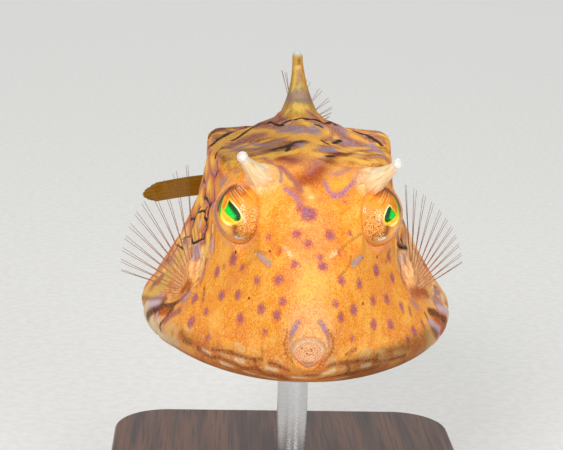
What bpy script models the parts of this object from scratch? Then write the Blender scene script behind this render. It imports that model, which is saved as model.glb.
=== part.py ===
"""Thornback cowfish: a still, life-size display model, held on a rod stand.

The fish swims level with its nose towards -Y and its tail curled round to its own right side (-X).
All sizes are in millimetres and become metres when a mesh is made. In the fish's own frame x is to its
left, y runs back from the tip of the snout, and z is up from the middle of the mouth. The model's origin
is the middle of the underside of the stand's base.
"""

import math

import bmesh
import bpy
from mathutils import Matrix, Vector

# Overall sizes, from the species' proportions at a total length of 115 mm
MM = 0.001
GAP = 0.3
SNOUT_AHEAD = 45.0
MOUTH_HEIGHT = 45.0
HEAD_START = 1.0
HEAD_END = 27.0
SHELL_END = 78.0

# Long lines of the shell as (y, size), each the few points that its shape needs
CREST_Z = [(0, 2.4), (2.5, 3.8), (5, 7.4), (8, 11.9), (12, 16.8), (16, 20.2), (21, 22.6), (28, 24.2),
           (38, 25.1), (46, 25.5), (56, 24.3), (67, 20.2), (78, 12.6)]
BACK_EDGE_X = [(0, 1.6), (2.5, 2.0), (5, 3.1), (8, 4.6), (12, 6.6), (16, 8.4), (21, 10.5), (28, 12.9),
               (38, 14.3), (46, 14.7), (56, 13.3), (67, 9.2), (78, 4.2)]
BACK_EDGE_Z = [(0, 1.6), (2.5, 2.6), (5, 5.6), (8, 9.4), (12, 14.2), (16, 18.0), (21, 20.9), (28, 21.9),
               (38, 22.4), (45, 23.8), (52, 22.6), (62, 19.4), (78, 10.6)]
WAIST_X = [(0, 2.3), (2.5, 2.9), (5, 4.5), (8, 6.7), (12, 9.2), (16, 11.0), (22, 13.0), (30, 15.1),
           (38, 16.3), (46, 16.7), (56, 15.0), (67, 10.4), (78, 4.6)]
WAIST_Z = [(0, 0.0), (5, 1.0), (10, 3.4), (16, 6.2), (24, 8.6), (34, 10.0), (46, 10.6), (66, 8.6), (78, 6.2)]
KEEL_EDGE_X = [(0, 1.6), (3, 2.9), (6, 5.9), (10, 10.7), (15, 15.6), (22, 20.2), (30, 23.5), (38, 25.5),
               (44, 26.0), (53, 24.5), (62, 19.9), (70, 13.7), (78, 6.0)]
KEEL_EDGE_Z = [(0, -1.6), (3, -3.1), (8, -4.6), (20, -5.2), (43, -5.0), (62, -3.2), (78, 1.6)]
KEEL_Z = [(0, -2.4), (3, -4.4), (6, -6.0), (10, -7.6), (15, -9.2), (20, -10.3), (28, -11.5), (38, -12.1),
          (48, -11.8), (60, -9.4), (70, -5.0), (78, 0.4)]

# Plates of the shell, counted along one side from the crest down to the middle of the belly
BACK_PLATES = 2.0
FLANK_PLATES = 4.5
BELLY_PLATES = 3.0
SIDE_PLATES = BACK_PLATES + FLANK_PLATES + BELLY_PLATES
ROUND_PLATES = 2 * SIDE_PLATES
PLATE_COLUMNS = 7
PLATE_RELIEF = 0.35
PLATE_INSET = 0.84
BACK_SAG = 0.9
DOME_UNTIL, TENT_FROM = 18.0, 40.0
TENT_POWER = 1.7
BELLY_POWER, BELLY_ROUND = 2.3, 0.77
EDGE_ROUND, BROW_ROUND = 0.3, 1.5

# Head
HEAD_RINGS = 17
HEAD_STEPS_PER_PLATE = 4
EYE_X, EYE_Y, EYE_Z = 8.95, 19.5, 15.3
EYE_ASIDE = 0.3
EYE_RADIUS = 5.1
EYE_AXIS = Vector((0.80, -0.58, 0.14)).normalized()
ORBIT = [(-4.5, 4.6), (-2.5, 5.7), (0.0, 6.15), (0.9, 6.1), (1.5, 5.8), (1.75, 5.35)]
NOSTRIL_Y, NOSTRIL_PLATES = 8.8, 1.95
NOSTRIL_RADIUS, NOSTRIL_PIT, NOSTRIL_HEIGHT = 0.8, 0.4, 0.7
LIP_RADIUS, LIP_THICK = 1.45, 0.62
GILL_SLIT_Y, GILL_SLIT_Z, GILL_SLIT_HEIGHT = 25.2, 3.2, 5.4

# Horns above the eyes, one splayed a little more than the other as in life: root and tip
HORNS = {
    "horn_left": (Vector((9.0, 17.6, 20.6)), Vector((12.5, 11.0, 24.6))),
    "horn_right": (Vector((-6.5, 17.8, 20.8)), Vector((-9.9, 11.0, 25.2))),
}
HORN_ROOT_RADIUS, HORN_TIP_RADIUS, HORN_FLARE = 2.6, 0.72, 1.7
HORN_SUNK = 2.6

# Thorn in the middle of the back
THORN_Y, THORN_HEIGHT, THORN_LEAN, THORN_ASIDE = 46.5, 11.2, 2.4, -0.5
THORN_HALF_WIDTH, THORN_HALF_LENGTH, THORN_TIP = 4.7, 7.6, 0.85
THORN_FLARE = 2.0
THORN_SUNK = 2.2

# Spines at the rear ends of the keel edges
KEEL_SPINE_Y, KEEL_SPINE_LENGTH, KEEL_SPINE_RADIUS = 68.0, 6.0, 1.5

# Fins: thickness of the web and of a ray at its root and tip
WEB_THICK, RAY_THICK, RAY_TIP_THICK = 0.5, 1.0, 0.62
FIN_STEPS = 6
FIN_SUNK = 1.2
SCALLOP = 0.95
PECTORAL_RAYS, PECTORAL_Y = 11, 28.6
PECTORAL_TOP_Z, PECTORAL_LOW_Z = 3.4, -0.4
# Each pectoral fin in its own moment of the stroke: angles above level, and lengths, of its top and low rays
PECTORALS = {
    "fin_pectoral_left": (97.0, 20.0, 14.4, 6.8),
    "fin_pectoral_right": (88.0, 5.0, 16.8, 8.8),
}
DORSAL_RAYS, DORSAL_FROM_Y, DORSAL_TO_Y, DORSAL_LENGTH = 9, 62.0, 69.0, 9.0
ANAL_RAYS, ANAL_FROM_Y, ANAL_TO_Y, ANAL_LENGTH = 9, 64.5, 71.0, 9.6

# Tail: a straight stretch, a bend to the fish's right, and the folded tail fin
TAIL_START = 77.0
TAIL_STRAIGHT, TAIL_BEND_RADIUS, TAIL_BEND_DEG = 4.0, 8.5, 98.0
TAIL_STALK_LENGTH, TAIL_FIN_LENGTH = 15.5, 20.2
TAIL_Z = [(0, 6.3), (8, 6.6), (15, 6.8), (25, 6.2), (36, 4.5)]
TAIL_ROOT_HEIGHT, TAIL_ROOT_WIDTH = 9.6, 7.0
TAIL_END_HEIGHT, TAIL_END_WIDTH = 4.6, 2.9
TAIL_RAYS, TAIL_FIN_ROOT_HEIGHT, TAIL_FIN_END_HEIGHT = 10, 3.6, 3.0
TAIL_PLEAT = 0.3

# Stand
BASE_WIDTH, BASE_LENGTH, BASE_THICK = 62.0, 84.0, 8.0
BASE_CORNER, BASE_EDGE = 10.0, 1.0
COLLAR_RADIUS, COLLAR_THICK = 6.0, 2.5
ROD_RADIUS, ROD_Y = 2.5, 43.0

ORIGIN = Vector((0.0, -SNOUT_AHEAD, MOUTH_HEIGHT))
SHARP_DEG = 35.0


def clear_scene():
    for thing in list(bpy.data.objects):
        bpy.data.objects.remove(thing)


def material(name, colour, roughness, metallic=0.0):
    """A plain finish with the part's main colour."""
    made = bpy.data.materials.new(name)
    made.use_nodes = True
    shader = made.node_tree.nodes["Principled BSDF"]
    shader.inputs["Base Color"].default_value = (*colour, 1.0)
    shader.inputs["Roughness"].default_value = roughness
    shader.inputs["Metallic"].default_value = metallic
    return made


def smooth_step(low, high, value):
    share = min(1.0, max(0.0, (value - low) / (high - low)))
    return share * share * (3 - 2 * share)


def mix(a, b, share):
    return a + (b - a) * share


def on_line(points, y):
    """The height of a smooth line through the points at y, with no overshoot between them."""
    if y <= points[0][0]:
        return points[0][1]
    if y >= points[-1][0]:
        return points[-1][1]
    slopes = [(b[1] - a[1]) / (b[0] - a[0]) for a, b in zip(points, points[1:])]
    at = max(i for i, point in enumerate(points[:-1]) if point[0] <= y)

    def tangent(i):
        if i == 0 or i == len(points) - 1:
            return slopes[min(i, len(slopes) - 1)]
        before, after = slopes[i - 1], slopes[i]
        return 0.0 if before * after <= 0 else 2 * before * after / (before + after)

    (y0, a), (y1, b) = points[at], points[at + 1]
    span = y1 - y0
    t = (y - y0) / span
    return ((2 * t**3 - 3 * t**2 + 1) * a + (t**3 - 2 * t**2 + t) * span * tangent(at)
            + (3 * t**2 - 2 * t**3) * b + (t**3 - t**2) * span * tangent(at + 1))


def side_point(y, plates):
    """(x, z) of the shell at y, so many plates down its side from the crest."""
    edge_x, edge_z = on_line(BACK_EDGE_X, y), on_line(BACK_EDGE_Z, y)
    keel_x, keel_z = on_line(KEEL_EDGE_X, y), on_line(KEEL_EDGE_Z, y)
    if plates <= BACK_PLATES:
        t = plates / BACK_PLATES
        tent = smooth_step(DOME_UNTIL, TENT_FROM, y)
        share = mix(1 - t * t, (1 - t) ** TENT_POWER, tent)
        sag = BACK_SAG * tent * 4 * t * (1 - t) * smooth_step(SHELL_END, 60.0, y)
        return edge_x * t, mix(edge_z, on_line(CREST_Z, y), share) - sag
    if plates <= BACK_PLATES + FLANK_PLATES:
        t = (plates - BACK_PLATES) / FLANK_PLATES
        waist_x, waist_z = on_line(WAIST_X, y), on_line(WAIST_Z, y)
        pull_x = 2 * waist_x - (edge_x + keel_x) / 2
        pull_z = 2 * waist_z - (edge_z + keel_z) / 2
        a, b, c = (1 - t) ** 2, 2 * t * (1 - t), t * t
        return a * edge_x + b * pull_x + c * keel_x, a * edge_z + b * pull_z + c * keel_z
    t = (plates - BACK_PLATES - FLANK_PLATES) / BELLY_PLATES
    drop = (1 - (1 - t) ** BELLY_POWER) ** BELLY_ROUND
    return keel_x * (1 - t), mix(keel_z, on_line(KEEL_Z, y), drop)


def sharp_point(y, plates):
    """The shell's surface with its edges sharp."""
    plates %= ROUND_PLATES
    if plates <= SIDE_PLATES:
        x, z = side_point(y, plates)
        return Vector((x, y, z))
    x, z = side_point(y, ROUND_PLATES - plates)
    return Vector((-x, y, z))


def shell_point(y, plates):
    """The shell's surface, counting plates all the way round from the crest, down the fish's left side first.

    Its edges are rounded, the back edges more towards the snout, by taking the middle of points to each side.
    """
    plates %= ROUND_PLATES
    down = min(plates, ROUND_PLATES - plates)
    brow = mix(BROW_ROUND, EDGE_ROUND, smooth_step(17.0, 27.0, y)) * max(0.0, 1 - abs(down - BACK_PLATES) / 2)
    keel = EDGE_ROUND * max(0.0, 1 - abs(down - BACK_PLATES - FLANK_PLATES) / 1.5)
    spread = max(brow, keel)
    if spread == 0.0:
        return sharp_point(y, plates)
    return sum((sharp_point(y, plates + spread * k) for k in (-1, -0.5, 0, 0.5, 1)), Vector()) / 5


def shell_normal(y, plates):
    """Outward normal, averaged across the edges of the shell."""
    along = shell_point(y + 0.5, plates) - shell_point(y - 0.5, plates)
    around = shell_point(y, plates + 0.12) - shell_point(y, plates - 0.12)
    return around.cross(along).normalized()


def flank_at_height(y, z):
    """The left flank's point at that height."""
    low, high = BACK_PLATES, BACK_PLATES + FLANK_PLATES
    for _ in range(30):
        middle = (low + high) / 2
        if side_point(y, middle)[1] > z:
            low = middle
        else:
            high = middle
    return shell_point(y, low)


def add_object(name, points, faces, finish, at=Vector()):
    """A mesh object from points in the fish's frame, with its own origin at a point of that frame."""
    mesh = bpy.data.meshes.new(name)
    mesh.from_pydata([(Vector(p) - at) * MM for p in points], [], faces)
    mesh.validate()
    body = bmesh.new()
    body.from_mesh(mesh)
    bmesh.ops.recalc_face_normals(body, faces=body.faces)
    body.to_mesh(mesh)
    body.free()
    mesh.materials.append(finish)
    mesh.shade_smooth()
    mesh.set_sharp_from_angle(angle=math.radians(SHARP_DEG))
    made = bpy.data.objects.new(name, mesh)
    bpy.context.scene.collection.objects.link(made)
    made.parent = bpy.data.objects["fish_frame"]
    made.location = at * MM
    return made


def settle(thing):
    """Applies the object's modifiers and keeps its largest closed surface."""
    graph = bpy.context.evaluated_depsgraph_get()
    mesh = bpy.data.meshes.new_from_object(thing.evaluated_get(graph))
    thing.modifiers.clear()
    thing.data = mesh
    body = bmesh.new()
    body.from_mesh(mesh)
    bmesh.ops.triangulate(body, faces=body.faces)
    islands, seen = [], set()
    for start in body.verts:
        if start in seen:
            continue
        island, edge_of = [], [start]
        seen.add(start)
        while edge_of:
            vert = edge_of.pop()
            island.append(vert)
            for edge in vert.link_edges:
                other = edge.other_vert(vert)
                if other not in seen:
                    seen.add(other)
                    edge_of.append(other)
        islands.append(island)
    largest = max(islands, key=len)
    for island in islands:
        if island is not largest:
            bmesh.ops.delete(body, geom=island, context="VERTS")
    body.to_mesh(mesh)
    body.free()


def boolean(thing, others, operation):
    """One Boolean on a collection of closed meshes, which are removed afterwards."""
    group = bpy.data.collections.new(thing.name + "_tools")
    bpy.context.scene.collection.children.link(group)
    for other in others:
        bpy.context.scene.collection.objects.unlink(other)
        group.objects.link(other)
    modifier = thing.modifiers.new("Boolean", "BOOLEAN")
    modifier.operation = operation
    modifier.operand_type = "COLLECTION"
    modifier.collection = group
    modifier.solver = "EXACT"
    settle(thing)
    for other in others:
        bpy.data.objects.remove(other)
    bpy.data.collections.remove(group)


def keep_out(first_y, last_y):
    """The body's surface moved out by the gap, to cut the roots of what grows from it."""
    rows = round(ROUND_PLATES * 4)
    rings = []
    steps = round((last_y - first_y) / 1.6)
    for i in range(steps + 1):
        y = mix(first_y, last_y, i / steps)
        lift = GAP + PLATE_RELIEF * smooth_step(HEAD_END - 1.5, HEAD_END, y)
        rings.append([shell_point(y, j / 4) + shell_normal(y, j / 4) * lift for j in range(rows)])
    return add_object("keep_out", *loft(rings), bpy.data.materials[0])


def clear_of_body(thing, first_y, last_y, *others):
    """Cuts the object's root back from the head and the shell, and from others, to leave the gap."""
    boolean(thing, [keep_out(first_y, last_y), *others], "DIFFERENCE")


def loft(rings):
    """(points, faces) of a closed skin over rings with the same number of points."""
    points = [p for ring in rings for p in ring]
    count = len(rings[0])
    faces = []
    for i in range(len(rings) - 1):
        for j in range(count):
            k = (j + 1) % count
            faces.append((i * count + j, i * count + k, (i + 1) * count + k, (i + 1) * count + j))
    faces.append(tuple(range(count)))
    faces.append(tuple(range(len(points) - count, len(points))))
    return points, faces


def frame_about(axis):
    """Two unit vectors square to the axis and to each other."""
    helper = Vector((0, 0, 1)) if abs(axis.z) < 0.9 else Vector((0, 1, 0))
    first = axis.cross(helper).normalized()
    return first, axis.cross(first).normalized()


def tapered(root, tip, root_radius, tip_radius, flare, sunk, sides=14, steps=7):
    """Rings of a round spine that flares into what it grows from, with a rounded tip."""
    axis = (tip - root).normalized()
    length = (tip - root).length
    first, second = frame_about(axis)
    rings = []
    heights = [-sunk / length] + [i / steps for i in range(steps)] + [0.94, 1.0]
    for h in heights:
        swell = (1 - max(h, 0.0)) ** flare
        radius = tip_radius + (root_radius - tip_radius) * swell
        if h > 0.97:
            radius *= 0.45
        centre = root + axis * length * h
        rings.append([centre + (first * math.cos(a) + second * math.sin(a)) * radius
                      for a in (2 * math.pi * i / sides for i in range(sides))])
    return rings


def tube_ring(centre, first, second, half_first, half_second, sides):
    return [centre + first * half_first * math.cos(a) + second * half_second * math.sin(a)
            for a in (2 * math.pi * i / sides for i in range(sides))]


def eye_place(side):
    """(middle, direction it looks in) of the eye on that side."""
    return Vector((side * EYE_X + EYE_ASIDE, EYE_Y, EYE_Z)), EYE_AXIS * Vector((side, 1, 1))


def orbit_object(side, swell, finish):
    """The bulge of the head round an eye, grown by swell."""
    eye, axis = eye_place(side)
    first, second = frame_about(axis)
    rings = [tube_ring(eye + axis * (h + swell * h / 2), first, second, r + swell, r + swell, 26)
             for h, r in ORBIT]
    return add_object("orbit", *loft(rings), finish)


def make_head(finish):
    """The face and forehead, with the bulges round the eyes, the nostrils and the gill slits."""
    steps = int(ROUND_PLATES * HEAD_STEPS_PER_PLATE)
    rings = []
    for i in range(HEAD_RINGS + 1):
        y = mix(HEAD_START, HEAD_END - GAP / 2, (i / HEAD_RINGS) ** 1.15)
        rings.append([shell_point(y, j / HEAD_STEPS_PER_PLATE) for j in range(steps)])
    head = add_object("head", *loft(rings), finish)
    extras, cutters = [], []
    for side in (1, -1):
        mirror = Vector((side, 1, 1))
        extras.append(orbit_object(side, 0.0, finish))
        cutters.append(ball_object("socket", eye_place(side)[0], EYE_RADIUS + GAP, finish))
        nostril = shell_point(NOSTRIL_Y, NOSTRIL_PLATES) * mirror
        way = shell_normal(NOSTRIL_Y, NOSTRIL_PLATES) * mirror
        tube = tapered(nostril, nostril + way * NOSTRIL_HEIGHT, NOSTRIL_RADIUS * 1.6, NOSTRIL_RADIUS,
                       2.0, 1.2, sides=10, steps=2)
        extras.append(add_object("nostril", *loft(tube), finish))
        pit = tapered(nostril, nostril + way * NOSTRIL_HEIGHT * 2, NOSTRIL_PIT, NOSTRIL_PIT, 1.0, 0.0,
                      sides=8, steps=2)
        cutters.append(add_object("pit", *loft(pit), finish))
        middle = flank_at_height(GILL_SLIT_Y, GILL_SLIT_Z) * mirror
        cutters.append(ball_object("slit", middle, GILL_SLIT_HEIGHT / 2, finish, 12, 8, (0.4, 0.12, 1)))
    boolean(head, extras, "UNION")
    boolean(head, cutters, "DIFFERENCE")


def ring_object(name, centre, axis, radius, thick, finish, around=26, section=7):
    """A torus about an axis."""
    first, second = frame_about(axis)
    points, faces = [], []
    for i in range(around):
        a = 2 * math.pi * i / around
        out = first * math.cos(a) + second * math.sin(a)
        points += tube_ring(centre + out * radius, out, axis, thick, thick, section)
    for i in range(around):
        for j in range(section):
            k, n = (j + 1) % section, ((i + 1) % around) * section
            faces.append((i * section + j, i * section + k, n + k, n + j))
    return add_object(name, points, faces, finish)


def ball_object(name, centre, radius, finish, segments=22, rings=13, stretch=(1, 1, 1)):
    """A ball whose poles lie along x, with its origin at its centre."""
    body = bmesh.new()
    bmesh.ops.create_uvsphere(body, u_segments=segments, v_segments=rings, radius=radius)
    bmesh.ops.rotate(body, matrix=Matrix.Rotation(math.pi / 2, 3, "Y"), verts=body.verts)
    points = [centre + v.co * Vector(stretch) for v in body.verts]
    faces = [[v.index for v in face.verts] for face in body.faces]
    body.free()
    return add_object(name, points, faces, finish, at=centre)


def make_eyes(finish):
    for name, side in (("eye_left", 1), ("eye_right", -1)):
        ball_object(name, eye_place(side)[0], EYE_RADIUS, finish)


def make_lips(finish):
    """A fleshy ring with the full lower lip inside it and the line of the mouth between them."""
    centre = Vector((0, HEAD_START - GAP - LIP_THICK * 0.9, -0.3))
    back = Vector((0, 1, 0))
    lips = ring_object("lips", centre, back, LIP_RADIUS, LIP_THICK, finish, around=24, section=8)
    plug = tapered(centre + Vector((0, LIP_THICK * 0.9, 0)), centre - Vector((0, LIP_THICK * 0.2, 0)),
                   LIP_RADIUS + 0.35, LIP_RADIUS, 1.0, 0.0, sides=24, steps=2)
    lower = ball_object("lower", centre + Vector((0, -0.3, -0.5)), 1.25, finish, 14, 9, (1.15, 0.7, 0.95))
    boolean(lips, [add_object("plug", *loft(plug), finish), lower], "UNION")
    line = ring_object("line", centre + Vector((0, -0.75, -0.55)), back, 1.45, 0.2, finish, 20, 6)
    boolean(lips, [line], "DIFFERENCE")


def plate_polygon(column, middle):
    """The twelve corners of a six-sided plate, at column and plate units, cut off at the ends of the shell."""
    corners = [(column + 2 / 3, middle), (column + 1 / 3, middle + 0.5), (column - 1 / 3, middle + 0.5),
               (column - 2 / 3, middle), (column - 1 / 3, middle - 0.5), (column + 1 / 3, middle - 0.5)]
    if column == 0:
        corners = [(2 / 3, middle), (1 / 3, middle + 0.5), (0, middle + 0.5), (0, middle - 0.5),
                   (1 / 3, middle - 0.5)]
    if column == PLATE_COLUMNS:
        corners = [(column, middle + 0.5), (column - 1 / 3, middle + 0.5), (column - 2 / 3, middle),
                   (column - 1 / 3, middle - 0.5), (column, middle - 0.5)]
    halved = []
    for a, b in zip(corners, corners[1:] + corners[:1]):
        halved += [a, ((a[0] + b[0]) / 2, (a[1] + b[1]) / 2)]
    return halved


def make_shell(finish):
    """The boxy shell behind the head, its six-sided plates raised over the seams between them."""
    first_y, last_y = HEAD_END + GAP / 2, SHELL_END
    points, faces, shared = [], [], {}

    def place(column, plates, lift):
        y = mix(first_y, last_y, column / PLATE_COLUMNS)
        normal = shell_normal(y, plates)
        if column in (0, PLATE_COLUMNS):
            normal.y = 0
        points.append(shell_point(y, plates) + normal * lift)
        return len(points) - 1

    def corner(column, plates):
        key = (round(column * 6), round(plates * 4) % round(ROUND_PLATES * 4))
        if key not in shared:
            shared[key] = place(column, plates, 0.0)
        return shared[key]

    for column in range(PLATE_COLUMNS + 1):
        for row in range(int(ROUND_PLATES)):
            polygon = plate_polygon(column, row + 0.5 * (column % 2))
            middle_u = sum(p[0] for p in polygon) / len(polygon)
            middle_v = sum(p[1] for p in polygon) / len(polygon)
            centre = place(middle_u, middle_v, PLATE_RELIEF)
            outer = [corner(*p) for p in polygon]
            inner = [place(mix(middle_u, u, PLATE_INSET), mix(middle_v, v, PLATE_INSET), PLATE_RELIEF)
                     for u, v in polygon]
            for i in range(len(polygon)):
                k = (i + 1) % len(polygon)
                faces.append((outer[i], outer[k], inner[k], inner[i]))
                faces.append((inner[i], inner[k], centre))
    ring = range(round(ROUND_PLATES * 2))
    faces.append([shared[(0, 2 * i)] for i in ring])
    faces.append([shared[(PLATE_COLUMNS * 6, 2 * i)] for i in ring])
    add_object("carapace", points, faces, finish)


def make_horns(finish):
    for name, (root, tip) in HORNS.items():
        rings = tapered(root, tip, HORN_ROOT_RADIUS, HORN_TIP_RADIUS, HORN_FLARE, HORN_SUNK)
        side = 1 if root.x > 0 else -1
        eye = ball_object("eye", eye_place(side)[0], EYE_RADIUS + GAP, finish)
        horn = add_object(name, *loft(rings), finish)
        clear_of_body(horn, 6, 32, eye, orbit_object(side, GAP, finish))


def make_thorn(finish):
    """The tall flattened thorn, leaning back, on a foot that spreads along the crest."""
    foot = Vector((0, THORN_Y, on_line(CREST_Z, THORN_Y)))
    steps, sides = 8, 18
    rings = []
    for h in [-THORN_SUNK / THORN_HEIGHT] + [i / steps for i in range(steps)] + [0.95, 1.0]:
        swell = (1 - max(h, 0.0)) ** THORN_FLARE
        width = THORN_TIP + (THORN_HALF_WIDTH - THORN_TIP) * swell
        length = THORN_TIP * 1.2 + (THORN_HALF_LENGTH - THORN_TIP * 1.2) * swell
        if h > 0.97:
            width, length = width * 0.45, length * 0.45
        along = max(h, 0.0) ** 1.5
        centre = foot + Vector((THORN_ASIDE * along, THORN_LEAN * along, THORN_HEIGHT * h - 0.5))
        rings.append(tube_ring(centre, Vector((1, 0, 0)), Vector((0, 1, 0)), width, length, sides))
    clear_of_body(add_object("thorn", *loft(rings), finish), 33, 62)


def make_keel_spines(finish):
    for name, side in (("keel_spine_left", 1), ("keel_spine_right", -1)):
        x, z = on_line(KEEL_EDGE_X, KEEL_SPINE_Y), on_line(KEEL_EDGE_Z, KEEL_SPINE_Y)
        root = Vector((side * (x - 0.4), KEEL_SPINE_Y, z))
        tip = root + Vector((side * 0.05, 0.98, -0.12)).normalized() * KEEL_SPINE_LENGTH
        rings = tapered(root, tip, KEEL_SPINE_RADIUS, 0.4, 1.2, 1.2, sides=10, steps=4)
        clear_of_body(add_object(name, *loft(rings), finish), 50, SHELL_END)


def fin(name, rays, across, finish):
    """A fin from its rays' lines: each ray is a raised ridge, with the web lower between it and the next.

    rays holds each ray as a list of points from root to tip. across gives the fin's normal at a share of the
    way over the rays and a share of their length, and a fin that twists has it worked out from its own shape.
    """
    count = len(rays)
    columns = []
    for i in range(count):
        columns.append((rays[i], True, i / (count - 1)))
        if i < count - 1:
            last = len(rays[i]) - 1
            between = [(a + b) / 2 for a, b in zip(rays[i], rays[i + 1])]
            between[last] = mix(between[last - 1], between[last], SCALLOP)
            columns.append((between, False, (i + 0.5) / (count - 1)))
    steps = len(rays[0])
    front, back = [], []
    for c, (line, is_ray, share) in enumerate(columns):
        before, after = columns[max(c - 1, 0)][0], columns[min(c + 1, len(columns) - 1)][0]
        for j, point in enumerate(line):
            along = j / (steps - 1)
            thick = mix(RAY_THICK, RAY_TIP_THICK, along) if is_ray else WEB_THICK
            if across:
                normal = across(share, along)
            else:
                outward = line[min(j + 1, steps - 1)] - line[max(j - 1, 0)]
                normal = outward.cross(after[j] - before[j]).normalized()
            front.append(point + normal * thick / 2)
            back.append(point - normal * thick / 2)
    points = front + back
    offset = len(front)
    faces = []
    for c in range(len(columns) - 1):
        for j in range(steps - 1):
            a, b = c * steps + j, (c + 1) * steps + j
            for triangle in ((a, b, b + 1), (a, b + 1, a + 1)):
                faces.append(triangle)
                faces.append(tuple(offset + k for k in reversed(triangle)))
    last = (len(columns) - 1) * steps
    border = [j for j in range(steps)] + [c * steps + steps - 1 for c in range(1, len(columns))]
    border += [last + j for j in range(steps - 2, -1, -1)] + [c * steps for c in range(len(columns) - 2, 0, -1)]
    for a, b in zip(border, border[1:] + border[:1]):
        faces.append((a, b, offset + b))
        faces.append((a, offset + b, offset + a))
    return add_object(name, points, faces, finish)


def straight_ray(root, way, length, bend, steps=FIN_STEPS):
    """Points from just inside the root to the tip, bending steadily sideways."""
    whole = length + FIN_SUNK
    return [root + way * (whole * t - FIN_SUNK) + bend * t * t for t in (i / steps for i in range(steps + 1))]


def make_pectorals(finish):
    """Two fans spread up and out from the flanks."""
    for name, (top_deg, low_deg, top_length, low_length) in PECTORALS.items():
        side = 1 if name.endswith("left") else -1
        rays = []
        for i in range(PECTORAL_RAYS):
            share = i / (PECTORAL_RAYS - 1)
            root = flank_at_height(PECTORAL_Y, mix(PECTORAL_TOP_Z, PECTORAL_LOW_Z, share))
            angle = math.radians(mix(top_deg, low_deg, share))
            way = Vector((math.cos(angle), 0.25, math.sin(angle))).normalized()
            length = mix(top_length, low_length, share)
            ray = straight_ray(root + Vector((0.35, 0, 0)), way, length, Vector((0.6, 1.6, 0)))
            rays.append([p * Vector((side, 1, 1)) for p in ray])
        normal = Vector((side * 0.15, -0.97, 0.15)).normalized()
        made = fin(name, rays, lambda share, along, n=normal: n, finish)
        clear_of_body(made, 18, 44)


def make_dorsal(finish):
    """The back fin, far back on the crest, caught in the middle of a beat from side to side."""
    rays = []
    for i in range(DORSAL_RAYS):
        share = i / (DORSAL_RAYS - 1)
        y = mix(DORSAL_FROM_Y, DORSAL_TO_Y, share)
        root = Vector((0, y, on_line(CREST_Z, y)))
        back = math.radians(mix(14, 52, share))
        aside = math.radians(mix(-12, 54, smooth_step(0, 0.85, share)))
        way = Vector((math.sin(aside), math.sin(back), math.cos(back) * math.cos(aside))).normalized()
        length = DORSAL_LENGTH * (1 - 0.1 * share**2)
        rays.append(straight_ray(root, way, length, Vector((1.8 * math.sin(aside), 0.6, 0))))
    made = fin("fin_dorsal", rays, None, finish)
    clear_of_body(made, 50, SHELL_END)


def make_anal(finish):
    """The fin under the tail, beating the other way."""
    rays = []
    for i in range(ANAL_RAYS):
        share = i / (ANAL_RAYS - 1)
        y = mix(ANAL_FROM_Y, ANAL_TO_Y, share)
        root = Vector((0, y, on_line(KEEL_Z, y)))
        back = math.radians(mix(22, 68, share))
        aside = math.radians(mix(12, -20, smooth_step(0, 1, share)))
        way = Vector((math.sin(aside), math.sin(back), -math.cos(back) * math.cos(aside))).normalized()
        length = ANAL_LENGTH * (1 - 0.3 * share**2)
        rays.append(straight_ray(root, way, length, Vector((0.6 * math.sin(aside), 0.5, 0))))
    made = fin("fin_anal", rays, None, finish)
    clear_of_body(made, 50, SHELL_END)


def tail_at(distance):
    """(point, direction) on the middle line of the tail, so far from its start."""
    bend_length = TAIL_BEND_RADIUS * math.radians(TAIL_BEND_DEG)
    turned = min(max(distance - TAIL_STRAIGHT, 0.0), bend_length) / TAIL_BEND_RADIUS
    y = TAIL_START + min(distance, TAIL_STRAIGHT) + TAIL_BEND_RADIUS * math.sin(turned)
    x = -TAIL_BEND_RADIUS * (1 - math.cos(turned))
    way = Vector((-math.sin(turned), math.cos(turned), 0))
    rest = max(distance - TAIL_STRAIGHT - bend_length, 0.0)
    return Vector((x, y, on_line(TAIL_Z, distance))) + way * rest, way


def make_tail(finish):
    """The tail's stalk, which comes out of the end of the shell and bends to the fish's right."""
    rings = []
    steps = 9
    for i in range(steps + 1):
        share = i / steps
        centre, way = tail_at(mix(SHELL_END + GAP - TAIL_START, TAIL_STALK_LENGTH, share))
        side = way.cross(Vector((0, 0, 1)))
        slim = smooth_step(0, 0.75, share)
        rings.append(tube_ring(centre, side, Vector((0, 0, 1)), mix(TAIL_ROOT_WIDTH, TAIL_END_WIDTH, slim) / 2,
                               mix(TAIL_ROOT_HEIGHT, TAIL_END_HEIGHT, slim) / 2, 16))
    return add_object("tail", *loft(rings), finish)


def make_tail_fin(finish):
    """The tail fin, folded nearly shut, its rays in shallow pleats."""
    rays = []
    steps = 8
    for i in range(TAIL_RAYS):
        share = i / (TAIL_RAYS - 1) - 0.5
        pleat = TAIL_PLEAT * (1 if i % 2 else -1)
        ray = []
        for j in range(steps + 1):
            along = j / steps
            length = TAIL_FIN_LENGTH * (1 - 0.5 * share * share)
            centre, way = tail_at(TAIL_STALK_LENGTH + GAP + length * along)
            side = way.cross(Vector((0, 0, 1)))
            height = mix(TAIL_FIN_ROOT_HEIGHT, TAIL_FIN_END_HEIGHT, along)
            ray.append(centre + Vector((0, 0, share * height)) + side * pleat * along)
        rays.append(ray)

    def across(share, along):
        return tail_at(TAIL_STALK_LENGTH + TAIL_FIN_LENGTH * along)[1].cross(Vector((0, 0, 1)))

    return fin("fin_tail", rays, across, finish)


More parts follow.
